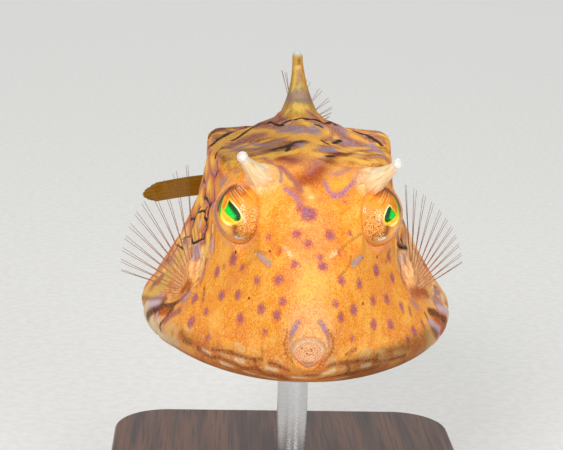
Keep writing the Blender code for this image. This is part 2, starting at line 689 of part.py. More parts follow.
def make_stand(wood, metal):
    """A flat base, a collar and a rod up to the belly."""
    body = bmesh.new()
    bmesh.ops.create_cube(body, size=1.0, matrix=Matrix.Diagonal((BASE_WIDTH, BASE_LENGTH, BASE_THICK, 1)))
    upright = [e for e in body.edges if abs(e.verts[0].co.z - e.verts[1].co.z) > 1]
    bmesh.ops.bevel(body, geom=upright, offset=BASE_CORNER, segments=6, profile=0.5, affect="EDGES")
    top = [e for e in body.edges if min(v.co.z for v in e.verts) > BASE_THICK / 2 - 0.01]
    bmesh.ops.bevel(body, geom=top, offset=BASE_EDGE, segments=2, profile=0.5, affect="EDGES")
    lift = Vector((0, 0, BASE_THICK / 2)) - ORIGIN
    points = [v.co + lift for v in body.verts]
    faces = [[v.index for v in face.verts] for face in body.faces]
    body.free()
    add_object("stand_base", points, faces, wood)

    across, back = Vector((1, 0, 0)), Vector((0, 1, 0))
    level = BASE_THICK + GAP - MOUTH_HEIGHT
    foot = Vector((0, ROD_Y, level))
    profile = [(0.0, COLLAR_RADIUS), (COLLAR_THICK - 0.5, COLLAR_RADIUS), (COLLAR_THICK, COLLAR_RADIUS - 0.5)]
    rings = [tube_ring(foot + Vector((0, 0, h)), across, back, r, r, 24) for h, r in profile]
    add_object("stand_collar", *loft(rings), metal)
    heights = (level + COLLAR_THICK + GAP, on_line(KEEL_Z, ROD_Y) + 1.5)
    rings = [tube_ring(Vector((0, ROD_Y, h)), across, back, ROD_RADIUS, ROD_RADIUS, 20) for h in heights]
    clear_of_body(add_object("stand_rod", *loft(rings), metal), 33, 55)


def main():
    clear_scene()
    frame = bpy.data.objects.new("fish_frame", None)
    frame.location = ORIGIN * MM
    bpy.context.scene.collection.objects.link(frame)
    skin = material("skin", (0.72, 0.33, 0.07), 0.45)
    pale_horn = material("horn", (0.86, 0.72, 0.50), 0.35)
    eye_finish = material("eye", (0.45, 0.20, 0.05), 0.12)
    lip_finish = material("lip", (0.85, 0.48, 0.36), 0.4)
    fin_finish = material("fin", (0.62, 0.42, 0.20), 0.4)
    tail_finish = material("tail_fin", (0.70, 0.36, 0.06), 0.45)
    wood = material("stand_wood", (0.09, 0.05, 0.03), 0.45)
    metal = material("stand_metal", (0.60, 0.60, 0.62), 0.3, metallic=1.0)

    make_head(skin)
    make_shell(skin)
    make_eyes(eye_finish)
    make_lips(lip_finish)
    make_horns(pale_horn)
    make_thorn(skin)
    make_keel_spines(skin)
    make_pectorals(fin_finish)
    make_dorsal(fin_finish)
    make_anal(fin_finish)
    make_tail(skin)
    make_tail_fin(tail_finish)
    make_stand(wood, metal)


main()
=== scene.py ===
"""Looks of the thornback cowfish display model: skin, eyes, horns, fins, stand, floor, light and camera.

Sizes are in millimetres and become metres when a mesh is made. In the fish's own frame x is to its left,
y runs back from the tip of the snout, and z is up from the middle of the mouth.
"""

import math

import bmesh
import bpy
import numpy as np
from mathutils import Matrix, Vector, kdtree


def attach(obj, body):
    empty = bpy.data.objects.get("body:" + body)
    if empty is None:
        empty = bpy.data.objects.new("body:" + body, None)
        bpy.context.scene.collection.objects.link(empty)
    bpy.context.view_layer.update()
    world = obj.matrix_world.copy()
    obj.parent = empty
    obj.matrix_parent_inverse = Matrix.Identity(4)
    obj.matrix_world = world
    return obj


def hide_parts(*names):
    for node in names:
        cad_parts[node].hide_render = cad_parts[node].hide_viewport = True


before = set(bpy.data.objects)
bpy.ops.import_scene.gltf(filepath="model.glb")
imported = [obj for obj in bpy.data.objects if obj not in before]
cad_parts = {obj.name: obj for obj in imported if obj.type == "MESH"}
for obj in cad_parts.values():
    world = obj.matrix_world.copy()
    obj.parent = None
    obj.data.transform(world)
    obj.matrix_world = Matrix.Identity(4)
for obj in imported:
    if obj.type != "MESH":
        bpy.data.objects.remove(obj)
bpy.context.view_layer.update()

MM = 0.001
ORIGIN = np.array((0.0, -45.0, 45.0))

# Long lines of the shell as (y, size), the same as the solids have
HEAD_START, HEAD_END, SHELL_END = 1.0, 27.0, 78.0
CREST_Z = [(0, 2.4), (2.5, 3.8), (5, 7.4), (8, 11.9), (12, 16.8), (16, 20.2), (21, 22.6), (28, 24.2),
           (38, 25.1), (46, 25.5), (56, 24.3), (67, 20.2), (78, 12.6)]
BACK_EDGE_X = [(0, 1.6), (2.5, 2.0), (5, 3.1), (8, 4.6), (12, 6.6), (16, 8.4), (21, 10.5), (28, 12.9),
               (38, 14.3), (46, 14.7), (56, 13.3), (67, 9.2), (78, 4.2)]
BACK_EDGE_Z = [(0, 1.6), (2.5, 2.6), (5, 5.6), (8, 9.4), (12, 14.2), (16, 18.0), (21, 20.9), (28, 21.9),
               (38, 22.4), (45, 23.8), (52, 22.6), (62, 19.4), (78, 10.6)]
WAIST_X = [(0, 2.3), (2.5, 2.9), (5, 4.5), (8, 6.7), (12, 9.2), (16, 11.0), (22, 13.0), (30, 15.1),
           (38, 16.3), (46, 16.7), (56, 15.0), (67, 10.4), (78, 4.6)]
WAIST_Z = [(0, 0.0), (5, 1.0), (10, 3.4), (16, 6.2), (24, 8.6), (34, 10.0), (46, 10.6), (66, 8.6), (78, 6.2)]
KEEL_EDGE_X = [(0, 1.6), (3, 2.9), (6, 5.9), (10, 10.7), (15, 15.6), (22, 20.2), (30, 23.5), (38, 25.5),
               (44, 26.0), (53, 24.5), (62, 19.9), (70, 13.7), (78, 6.0)]
KEEL_EDGE_Z = [(0, -1.6), (3, -3.1), (8, -4.6), (20, -5.2), (43, -5.0), (62, -3.2), (78, 1.6)]
KEEL_Z = [(0, -2.4), (3, -4.4), (6, -6.0), (10, -7.6), (15, -9.2), (20, -10.3), (28, -11.5), (38, -12.1),
          (48, -11.8), (60, -9.4), (70, -5.0), (78, 0.4)]
BACK_PLATES, FLANK_PLATES, BELLY_PLATES = 2.0, 4.5, 3.0
SIDE_PLATES = BACK_PLATES + FLANK_PLATES + BELLY_PLATES
ROUND_PLATES = 2 * SIDE_PLATES
PLATE_COLUMNS = 7
PLATE_RELIEF, PLATE_CROWN = 0.2, 0.1

# Skin: spacing of its points, and how often it is relaxed
SKIN_SPACING = 0.345
SKIN_ROUNDS = 8

# Eyes, each looking its own way, and the oval opening of the skin over them
EYES = {"eye_left": (1, (0.64, -0.745, 0.19)), "eye_right": (-1, (-0.443, -0.886, 0.138))}
EYE_X, EYE_Y, EYE_Z, EYE_ASIDE = 8.95, 19.5, 15.3, 0.3
IRIS_RADIUS, CORNEA_RADIUS, EYELID_RADIUS = 4.86, 5.0, 5.1
ORBIT_AXIS = (0.80, -0.58, 0.14)
ORBIT = [(-4.5, 4.6), (-2.5, 5.7), (0.0, 6.15), (0.9, 6.1), (1.5, 5.8), (1.75, 5.35)]
OPENING_TURN, OPENING_TIP = 33.0, 5.0
OPENING_WIDE, OPENING_TALL = 50.0, 65.0

LIP_CENTRE = (-0.28, 0.6, -0.35)

HORNS = {
    "horn_left": ((9.0, 17.6, 20.6), (12.5, 11.0, 24.6)),
    "horn_right": ((-6.5, 17.8, 20.8), (-9.9, 11.0, 25.2)),
}
HORN_PROFILE = [(-0.2, 2.4), (-0.1, 2.25), (0.0, 2.1), (0.08, 1.98), (0.16, 1.84), (0.3, 1.52), (0.44, 1.25),
                (0.58, 1.04), (0.72, 0.84), (0.82, 0.72), (0.9, 0.68), (0.95, 0.64), (0.985, 0.5), (1.0, 0.25)]
HORN_FOOT = [(-0.5, 3.6), (-0.32, 3.2), (-0.18, 2.8), (-0.06, 2.45), (0.06, 2.1), (0.16, 1.84), (0.24, 1.6),
             (0.27, 1.2)]
HORN_TIP_RADIUS = 0.8

THORN_Y, THORN_HEIGHT, THORN_LEAN, THORN_ASIDE = 46.5, 11.2, 2.4, -0.5
THORN_HALF_WIDTH, THORN_HALF_LENGTH, THORN_TIP, THORN_FLARE = 3.8, 6.8, 0.86, 2.3
KEEL_SPINE_Y, KEEL_SPINE_LENGTH, KEEL_SPINE_RADIUS = 68.0, 6.0, 1.5

PECTORAL_RAYS, PECTORAL_Y = 11, 28.6
PECTORALS = {
    "fin_pectoral_left": (97.0, 29.0, 12.7, 7.2, 5.2, 2.0),
    "fin_pectoral_right": (89.0, 12.0, 14.8, 8.6, 5.4, 1.3),
}
# Fins on the middle line: rays up or down from a line, from and to y, length and how much shorter at the
# back, leaning back and aside in degrees, where the leaning aside ends, and the bend of the rays
MIDDLE_RAYS = 9
MIDDLE_FINS = {
    "fin_dorsal": (1, CREST_Z, (62.0, 69.0), (9.0, 0.1), (14, 52), (-12, 54), 0.85, (1.8, 0.6)),
    "fin_anal": (-1, KEEL_Z, (64.5, 71.0), (9.6, 0.3), (22, 68), (12, -20), 1.0, (0.6, 0.5)),
}
FIN_STEPS, FIN_SUNK = 14, 1.2
RAY_RADIUS, RAY_TIP_RADIUS = 0.11, 0.04
WEB_THICK = 0.06
WEB_COLUMNS = 4
RAY_SIDES = 6

TAIL_START = 77.0
TAIL_STRAIGHT, TAIL_BEND_RADIUS, TAIL_BEND_DEG = 4.0, 8.5, 98.0
TAIL_STALK_LENGTH, TAIL_FIN_LENGTH = 15.5, 20.2
TAIL_Z = [(0, 6.3), (8, 6.6), (15, 6.8), (25, 6.2), (36, 4.5)]
TAIL_ROOT_HEIGHT, TAIL_ROOT_WIDTH, TAIL_END_HEIGHT, TAIL_END_WIDTH = 9.6, 7.0, 4.6, 2.9
TAIL_RAYS, TAIL_FIN_ROOT_HEIGHT, TAIL_FIN_END_HEIGHT, TAIL_PLEAT = 11, 3.9, 3.5, 0.05

BASE_SIZE, BASE_CORNER, BASE_EDGE = (61.99, 83.99, 7.99), 10.0, 1.0
COLLAR_RADIUS, COLLAR_THICK, ROD_RADIUS, ROD_Y = 6.0, 2.5, 2.5, 43.0

# Camera, at the photo's viewing angle
VIEW_AZIMUTH, VIEW_ELEVATION, VIEW_ROLL = -2.6, 12.0, 1.5
VIEW_AIM, VIEW_DISTANCE = (-2.46, 45.0, 8.1), 280.0
IMAGE_WIDTH, FOCAL_PIXELS, SENSOR = 563, 1719.0, 36.0


def tone(red, green, blue):
    """A colour given as it looks, 0 to 255, in the linear scale that materials use."""
    return tuple(c / 12.92 if c <= 0.04045 else ((c + 0.055) / 1.055) ** 2.4
                 for c in (red / 255, green / 255, blue / 255))


FACE_ORANGE = tone(238, 152, 32)
FACE_GOLD = tone(250, 196, 96)
BACK_GOLD = tone(196, 130, 42)
BRIGHT = tone(240, 182, 70)
FLANK_TAN = tone(210, 132, 58)
BELLY_BROWN = tone(158, 84, 46)
RUST = tone(168, 70, 14)
UMBER = tone(112, 50, 24)
MAUVE = tone(154, 90, 86)
DUSK = tone(156, 126, 138)
VIOLET = tone(158, 106, 148)
ARC_BLUE = tone(140, 124, 172)
GOLD = tone(230, 166, 66)
YELLOW = tone(216, 178, 86)
STRAW = tone(230, 188, 120)
OCHRE = tone(204, 136, 48)
TAN = tone(176, 142, 96)
OLIVE = tone(186, 172, 100)
GREY = tone(146, 148, 132)
PUTTY = tone(158, 132, 112)
BONE = tone(208, 196, 160)
LILAC = tone(190, 170, 186)
DARK = tone(62, 34, 20)
SLATE = tone(150, 160, 172)
PEACH = tone(234, 164, 104)
CREAM = tone(246, 216, 168)
SALMON = tone(206, 116, 62)
PEARL = tone(250, 226, 186)
BROWN = tone(122, 66, 30)
SOOT = tone(44, 24, 14)
MUZZLE = tone(242, 178, 118)
CORAL = tone(232, 104, 62)


# Shape of the shell


def smooth_step(low, high, value):
    share = np.clip((value - low) / (high - low), 0.0, 1.0)
    return share * share * (3 - 2 * share)


def mix(a, b, share):
    return a + (b - a) * share


def on_line(points, y):
    """The height of a smooth line through the points at y, with no overshoot between them."""
    at, height = np.array(points, float).T
    slopes = np.diff(height) / np.diff(at)
    product = slopes[:-1] * slopes[1:]
    total = slopes[:-1] + slopes[1:]
    inner = np.where(product > 0, 2 * product / np.where(total == 0, 1, total), 0.0)
    tangents = np.concatenate([slopes[:1], inner, slopes[-1:]])
    y = np.clip(y, at[0], at[-1])
    i = np.clip(np.searchsorted(at, y, side="right") - 1, 0, len(at) - 2)
    span = at[i + 1] - at[i]
    t = (y - at[i]) / span
    return ((2 * t**3 - 3 * t**2 + 1) * height[i] + (t**3 - 2 * t**2 + t) * span * tangents[i]
            + (3 * t**2 - 2 * t**3) * height[i + 1] + (t**3 - t**2) * span * tangents[i + 1])


def sharp_point(y, plates):
    """The shell's surface with its edges sharp, counting plates round from the crest, down the left first."""
    y, plates = np.broadcast_arrays(np.asarray(y, float), np.asarray(plates, float) % ROUND_PLATES)
    down = np.minimum(plates, ROUND_PLATES - plates)
    edge_x, edge_z = on_line(BACK_EDGE_X, y), on_line(BACK_EDGE_Z, y)
    keel_x, keel_z = on_line(KEEL_EDGE_X, y), on_line(KEEL_EDGE_Z, y)
    waist_x, waist_z = on_line(WAIST_X, y), on_line(WAIST_Z, y)

    t = np.clip(down / BACK_PLATES, 0, 1)
    tent = smooth_step(18.0, 40.0, y)
    share = mix(1 - t * t, (1 - t) ** 1.7, tent)
    sag = 0.9 * tent * 4 * t * (1 - t) * smooth_step(SHELL_END, 60.0, y)
    back_x, back_z = edge_x * t, mix(edge_z, on_line(CREST_Z, y), share) - sag

    t = np.clip((down - BACK_PLATES) / FLANK_PLATES, 0, 1)
    a, b, c = (1 - t) ** 2, 2 * t * (1 - t), t * t
    flank_x = a * edge_x + b * (2 * waist_x - (edge_x + keel_x) / 2) + c * keel_x
    flank_z = a * edge_z + b * (2 * waist_z - (edge_z + keel_z) / 2) + c * keel_z

    t = np.clip((down - BACK_PLATES - FLANK_PLATES) / BELLY_PLATES, 0, 1)
    belly_x = keel_x * (1 - t)
    belly_z = mix(keel_z, on_line(KEEL_Z, y), (1 - (1 - t) ** 2.3) ** 0.77)

    on_back, on_flank = down <= BACK_PLATES, down <= BACK_PLATES + FLANK_PLATES
    x = np.where(on_back, back_x, np.where(on_flank, flank_x, belly_x))
    z = np.where(on_back, back_z, np.where(on_flank, flank_z, belly_z))
    return np.stack([np.where(plates > SIDE_PLATES, -x, x), y, z], -1)


def shell_point(y, plates):
    """The shell's surface with its edges rounded, the back edges more towards the snout."""
    y, plates = np.broadcast_arrays(np.asarray(y, float), np.asarray(plates, float) % ROUND_PLATES)
    down = np.minimum(plates, ROUND_PLATES - plates)
    brow = mix(1.5, 0.3, smooth_step(17.0, 27.0, y)) * np.maximum(0.0, 1 - abs(down - BACK_PLATES) / 2)
    keel = 0.3 * np.maximum(0.0, 1 - abs(down - BACK_PLATES - FLANK_PLATES) / 1.5)
    spread = np.maximum(brow, keel)
    return sum(sharp_point(y, plates + spread * k) for k in (-1, -0.5, 0, 0.5, 1)) / 5


def back_mound(points):
    """How far the back rises towards the thorn, over the shell's own line."""
    aside, behind = points[:, 0], (points[:, 1] - THORN_Y) / 1.4
    on_top = smooth_step(6.0, 2.0, on_line(BACK_EDGE_Z, points[:, 1]) - points[:, 2])
    return 1.45 * np.exp(-(aside**2 + behind**2) / 8.5**2) * on_top


def flank_at_height(y, z):
    """The left flank's point at that height."""
    downs = np.linspace(BACK_PLATES, BACK_PLATES + FLANK_PLATES, 200)
    heights = sharp_point(y, downs)[:, 2]
    return shell_point(y, downs[abs(heights - z).argmin()])


def tail_at(distance):
    """(point, direction) on the middle line of the tail, so far from its start."""
    bend_length = TAIL_BEND_RADIUS * math.radians(TAIL_BEND_DEG)
    turned = min(max(distance - TAIL_STRAIGHT, 0.0), bend_length) / TAIL_BEND_RADIUS
    y = TAIL_START + min(distance, TAIL_STRAIGHT) + TAIL_BEND_RADIUS * math.sin(turned)
    x = -TAIL_BEND_RADIUS * (1 - math.cos(turned))
    way = np.array((-math.sin(turned), math.cos(turned), 0.0))
    rest = max(distance - TAIL_STRAIGHT - bend_length, 0.0)
    return np.array((x, y, float(on_line(TAIL_Z, distance)))) + way * rest, way


def eye_centre(side):
    return np.array((side * EYE_X + EYE_ASIDE, EYE_Y, EYE_Z))


# Meshes


def unit(v):
    v = np.asarray(v, float)
    return v / np.linalg.norm(v)


def nothing_selected():
    bpy.ops.object.select_all(action="DESELECT")


def mesh_object(name, points, faces, finishes=()):
    """A mesh object from points in the fish's frame. Its object stays at the origin."""
    mesh = bpy.data.meshes.new(name)
    mesh.from_pydata(((np.asarray(points) + ORIGIN) * MM).tolist(), [], faces)
    made = bpy.data.objects.new(name, mesh)
    bpy.context.scene.collection.objects.link(made)
    for one in finishes:
        mesh.materials.append(one)
    face_out(made)
    mesh.shade_smooth()
    return made


def face_out(thing):
    body = bmesh.new()
    body.from_mesh(thing.data)
    bmesh.ops.recalc_face_normals(body, faces=body.faces)
    body.to_mesh(thing.data)
    body.free()


def loft(rings):
    """(points, faces) of a closed skin over rings with the same number of points."""
    count = len(rings[0])
    points = np.concatenate(rings)
    faces = []
    for i in range(len(rings) - 1):
        for j in range(count):
            k = (j + 1) % count
            faces.append((i * count + j, i * count + k, (i + 1) * count + k, (i + 1) * count + j))
    faces.append(tuple(range(count)))
    faces.append(tuple(range(len(points) - count, len(points))))
    return points, faces


def ring(centre, first, second, half_first, half_second, sides):
    turn = np.linspace(0, 2 * math.pi, sides, endpoint=False)[:, None]
    return np.asarray(centre) + np.asarray(first) * half_first * np.cos(turn) \
        + np.asarray(second) * half_second * np.sin(turn)


def frame_about(axis):
    """Two unit vectors square to the axis and to each other."""
    axis = np.asarray(axis, float)
    helper = np.array((0, 0, 1.0)) if abs(axis[2]) < 0.9 else np.array((0, 1.0, 0))
    first = unit(np.cross(axis, helper))
    return first, unit(np.cross(axis, first))


def places(thing):
    """The mesh's points in the fish's frame."""
    flat = np.empty(len(thing.data.vertices) * 3, np.float32)
    thing.data.vertices.foreach_get("co", flat)
    return flat.reshape(-1, 3).astype(float) / MM - ORIGIN


def put_places(thing, points):
    thing.data.vertices.foreach_set("co", ((points + ORIGIN) * MM).astype(np.float32).ravel())
    thing.data.update()


def alone(thing):
    """Selects only this object and makes it active."""
    nothing_selected()
    thing.select_set(True)
    bpy.context.view_layer.objects.active = thing


def apply_all(thing):
    alone(thing)
    for modifier in list(thing.modifiers):
        bpy.ops.object.modifier_apply(modifier=modifier.name)


def settle_place(thing):
    """Puts the object's place, turn and size into its mesh."""
    alone(thing)
    bpy.ops.object.transform_apply(location=True, rotation=True, scale=True)


def turned(name, profile, sides, finishes, foot, axis):
    """A round piece drawn out from a disc, as on a lathe, along an axis from a foot in the fish's frame.

    profile holds (height, radius) steps in millimetres.
    """
    nothing_selected()
    height, radius = profile[0]
    bpy.ops.mesh.primitive_circle_add(vertices=sides, radius=radius * MM, fill_type="NGON",
                                      location=(0, 0, height * MM))
    made = bpy.context.object
    made.name = made.data.name = name
    settle_place(made)
    bpy.ops.object.mode_set(mode="EDIT")
    bpy.ops.mesh.select_all(action="SELECT")
    for next_height, next_radius in profile[1:]:
        bpy.ops.mesh.extrude_region_move(
            TRANSFORM_OT_translate={"value": (0, 0, (next_height - height) * MM)})
        share = next_radius / radius
        bpy.ops.transform.resize(value=(share, share, 1), center_override=(0, 0, next_height * MM))
        height, radius = next_height, next_radius
    bpy.ops.mesh.select_all(action="SELECT")
    bpy.ops.mesh.normals_make_consistent(inside=False)
    bpy.ops.object.mode_set(mode="OBJECT")
    axis = unit(axis)
    first, _ = frame_about(axis)
    turn = Matrix((first, np.cross(axis, first), axis)).transposed().to_4x4()
    made.data.transform(Matrix.Translation(Vector((np.asarray(foot) + ORIGIN) * MM)) @ turn)
    return dressed(made, *finishes)


def dressed(thing, *finishes):
    for finish in finishes:
        thing.data.materials.append(finish)
    thing.data.shade_smooth()
    return thing


def joined(name, things):
    nothing_selected()
    for thing in things:
        thing.select_set(True)
    bpy.context.view_layer.objects.active = things[0]
    bpy.ops.object.join()
    things[0].name = things[0].data.name = name
    return things[0]


def cut(thing, cutters):
    for cutter in cutters:
        modifier = thing.modifiers.new("Cut", "BOOLEAN")
        modifier.operation, modifier.solver, modifier.object = "DIFFERENCE", "EXACT", cutter
    apply_all(thing)
    for cutter in cutters:
        bpy.data.objects.remove(cutter)


def relaxed(thing, rounds):
    """Smooths the mesh without letting it shrink."""
    edges = np.empty(len(thing.data.edges) * 2, np.int32)
    thing.data.edges.foreach_get("vertices", edges)
    a, b = edges.reshape(-1, 2).T
    points = places(thing)
    count = np.bincount(a, minlength=len(points)) + np.bincount(b, minlength=len(points))
    for step in range(2 * rounds):
        total = np.stack([np.bincount(a, points[b, k], len(points)) + np.bincount(b, points[a, k], len(points))
                          for k in range(3)], 1)
        points += (0.5 if step % 2 == 0 else -0.52) * (total / count[:, None] - points)
    put_places(thing, points)


# Painting marks on the points of a mesh


def along_surface(offsets, ways):
    """The offsets without their parts along the surface's own outward ways, up to 1.6 mm."""
    if ways is None:
        return offsets
    out = (offsets * ways).sum(1)
    return offsets - np.clip(out, -1.6, 1.6)[:, None] * ways


def distance_to(points, line, ways=None):
    """Distance of each point to a line through the given places, or to its one place."""
    line = np.asarray(line, float)
    if len(line) == 1:
        return np.linalg.norm(along_surface(points - line[0], ways), axis=1)
    return offset_to(points, [(1.0, line)], ways)[1]


def brush(paint, colour, mask):
    paint += (np.asarray(colour) - paint) * np.clip(mask, 0, 1)[:, None]


def offset_to(points, lines, ways):
    """(offset over half width, distance) of each point to the nearest of the lines, given as (half width, places)."""
    best, offset = np.full(len(points), 1e9), np.zeros(points.shape)
    for half_width, line in lines:
        for a, b in zip(line, line[1:]):
            way = b - a
            share = np.clip(((points - a) @ way) / max(way @ way, 1e-9), 0, 1)
            off = along_surface(points - a - share[:, None] * way, ways)
            away = np.linalg.norm(off, axis=1)
            nearer = away < best
            best[nearer] = away[nearer]
            offset[nearer] = off[nearer] / half_width
    return offset, best


def nearest_edge(points, spots, ways):
    """Distance of each point to the rim of the nearest round spot, given as (x, y, z, radius)."""
    return np.min([distance_to(points, [place], ways) - radius for *place, radius in spots], axis=0)


def strokes(paint, points, marks):
    """Paints marks of (colour as it looks, half width, soft edge, strength, places) on flat points."""
    for hue, half_width, soft, strength, *line in marks:
        away = distance_to(points, [(*place, 0.0) for place in line])
        brush(paint, tone(*hue), strength * smooth_step(half_width + soft, half_width - soft, away))


def keep_colour(thing, name, paint):
    layer = thing.data.attributes.new(name, "FLOAT_COLOR", "POINT")
    layer.data.foreach_set("color", np.c_[paint, np.ones(len(paint))].astype(np.float32).ravel())


def keep_value(thing, name, values):
    layer = thing.data.attributes.new(name, "FLOAT", "POINT")
    layer.data.foreach_set("value", values.astype(np.float32))


def keep_vector(thing, name, vectors):
    layer = thing.data.attributes.new(name, "FLOAT_VECTOR", "POINT")
    layer.data.foreach_set("vector", vectors.astype(np.float32).ravel())


# Finishes, built node by node


class Finish:
    def __init__(self, name, **sockets):
        self.material = bpy.data.materials.new(name)
        self.material.use_nodes = True
        self.tree = self.material.node_tree
        self.shader = self.tree.nodes["Principled BSDF"]
        self.plug(self.shader, sockets)
        self.place = self.node("ShaderNodeTexCoord", {}, "Object")

    def plug(self, node, sockets):
        for key, value in sockets.items():
            socket = node.inputs[key.replace("_", " ") if isinstance(key, str) else key]
            if isinstance(value, bpy.types.NodeSocket):
                self.tree.links.new(value, socket)
            elif isinstance(value, (tuple, list)) and len(value) == 3 and socket.type == "RGBA":
                socket.default_value = (*value, 1.0)
            else:
                socket.default_value = value

    def node(self, kind, sockets, output=0, **properties):
        made = self.tree.nodes.new(kind)
        for key, value in properties.items():
            setattr(made, key, value)
        self.plug(made, sockets)
        return made.outputs[output]

    def attribute(self, name, output="Fac"):
        return self.node("ShaderNodeAttribute", {}, output, attribute_name=name)

    def noise(self, size, detail=2.0, where=None, output=0):
        """Cloudy noise with marks of about that many millimetres."""
        sockets = {"Vector": where or self.place, "Scale": 1 / (size * MM), "Detail": detail, "Roughness": 0.55}
        return self.node("ShaderNodeTexNoise", sockets, output)

    def math(self, operation, *values):
        return self.node("ShaderNodeMath", dict(enumerate(values)), operation=operation)

    def times(self, a, b):
        return self.math("MULTIPLY", a, b)

    def wavered(self, value, noise, share):
        """The value, moved up and down by that share of the noise."""
        return self.math("MULTIPLY_ADD", self.math("SUBTRACT", noise, 0.5), share, value)

    def step(self, low, high, value, to_low=0.0, to_high=1.0):
        sockets = {"Value": value, "From Min": low, "From Max": high, "To Min": to_low, "To Max": to_high}
        return self.node("ShaderNodeMapRange", sockets, interpolation_type="SMOOTHSTEP")

    def blend(self, share, a, b):
        return self.node("ShaderNodeMix", {0: share, 6: a, 7: b}, 2, data_type="RGBA")

    def tinted(self, colour, mask, *tints):
        """The colour with tints of (noise, low, high, most, tint) over it, as far as the mask lets them."""
        for noise, low, high, most, tint in tints:
            colour = self.blend(self.times(mask, self.step(low, high, noise, 0.0, most)), colour, tint)
        return colour

    def stretched(self, scale, where=None):
        return self.node("ShaderNodeMapping", {"Vector": where or self.place, "Scale": scale})

    def drawn(self, scale, where, detail):
        """Noise along a surface's own places, stretched by the scale."""
        sockets = {"Vector": self.stretched(scale, where), "Scale": 1.0, "Detail": detail}
        return self.node("ShaderNodeTexNoise", sockets)

    def parts(self, vector):
        """The vector's x and y."""
        made = self.tree.nodes.new("ShaderNodeSeparateXYZ")
        self.plug(made, {0: vector})
        return made.outputs[0], made.outputs[1]

    def scaled(self, vector, share):
        return self.node("ShaderNodeVectorMath", {0: vector, 3: share}, operation="SCALE")

    def bump(self, height, strength, distance):
        """A bumpy normal, distance in millimetres."""
        sockets = {"Strength": strength, "Distance": distance * MM, "Height": height}
        return self.node("ShaderNodeBump", sockets)

    def done(self, **sockets):
        self.plug(self.shader, sockets)
        return self.material


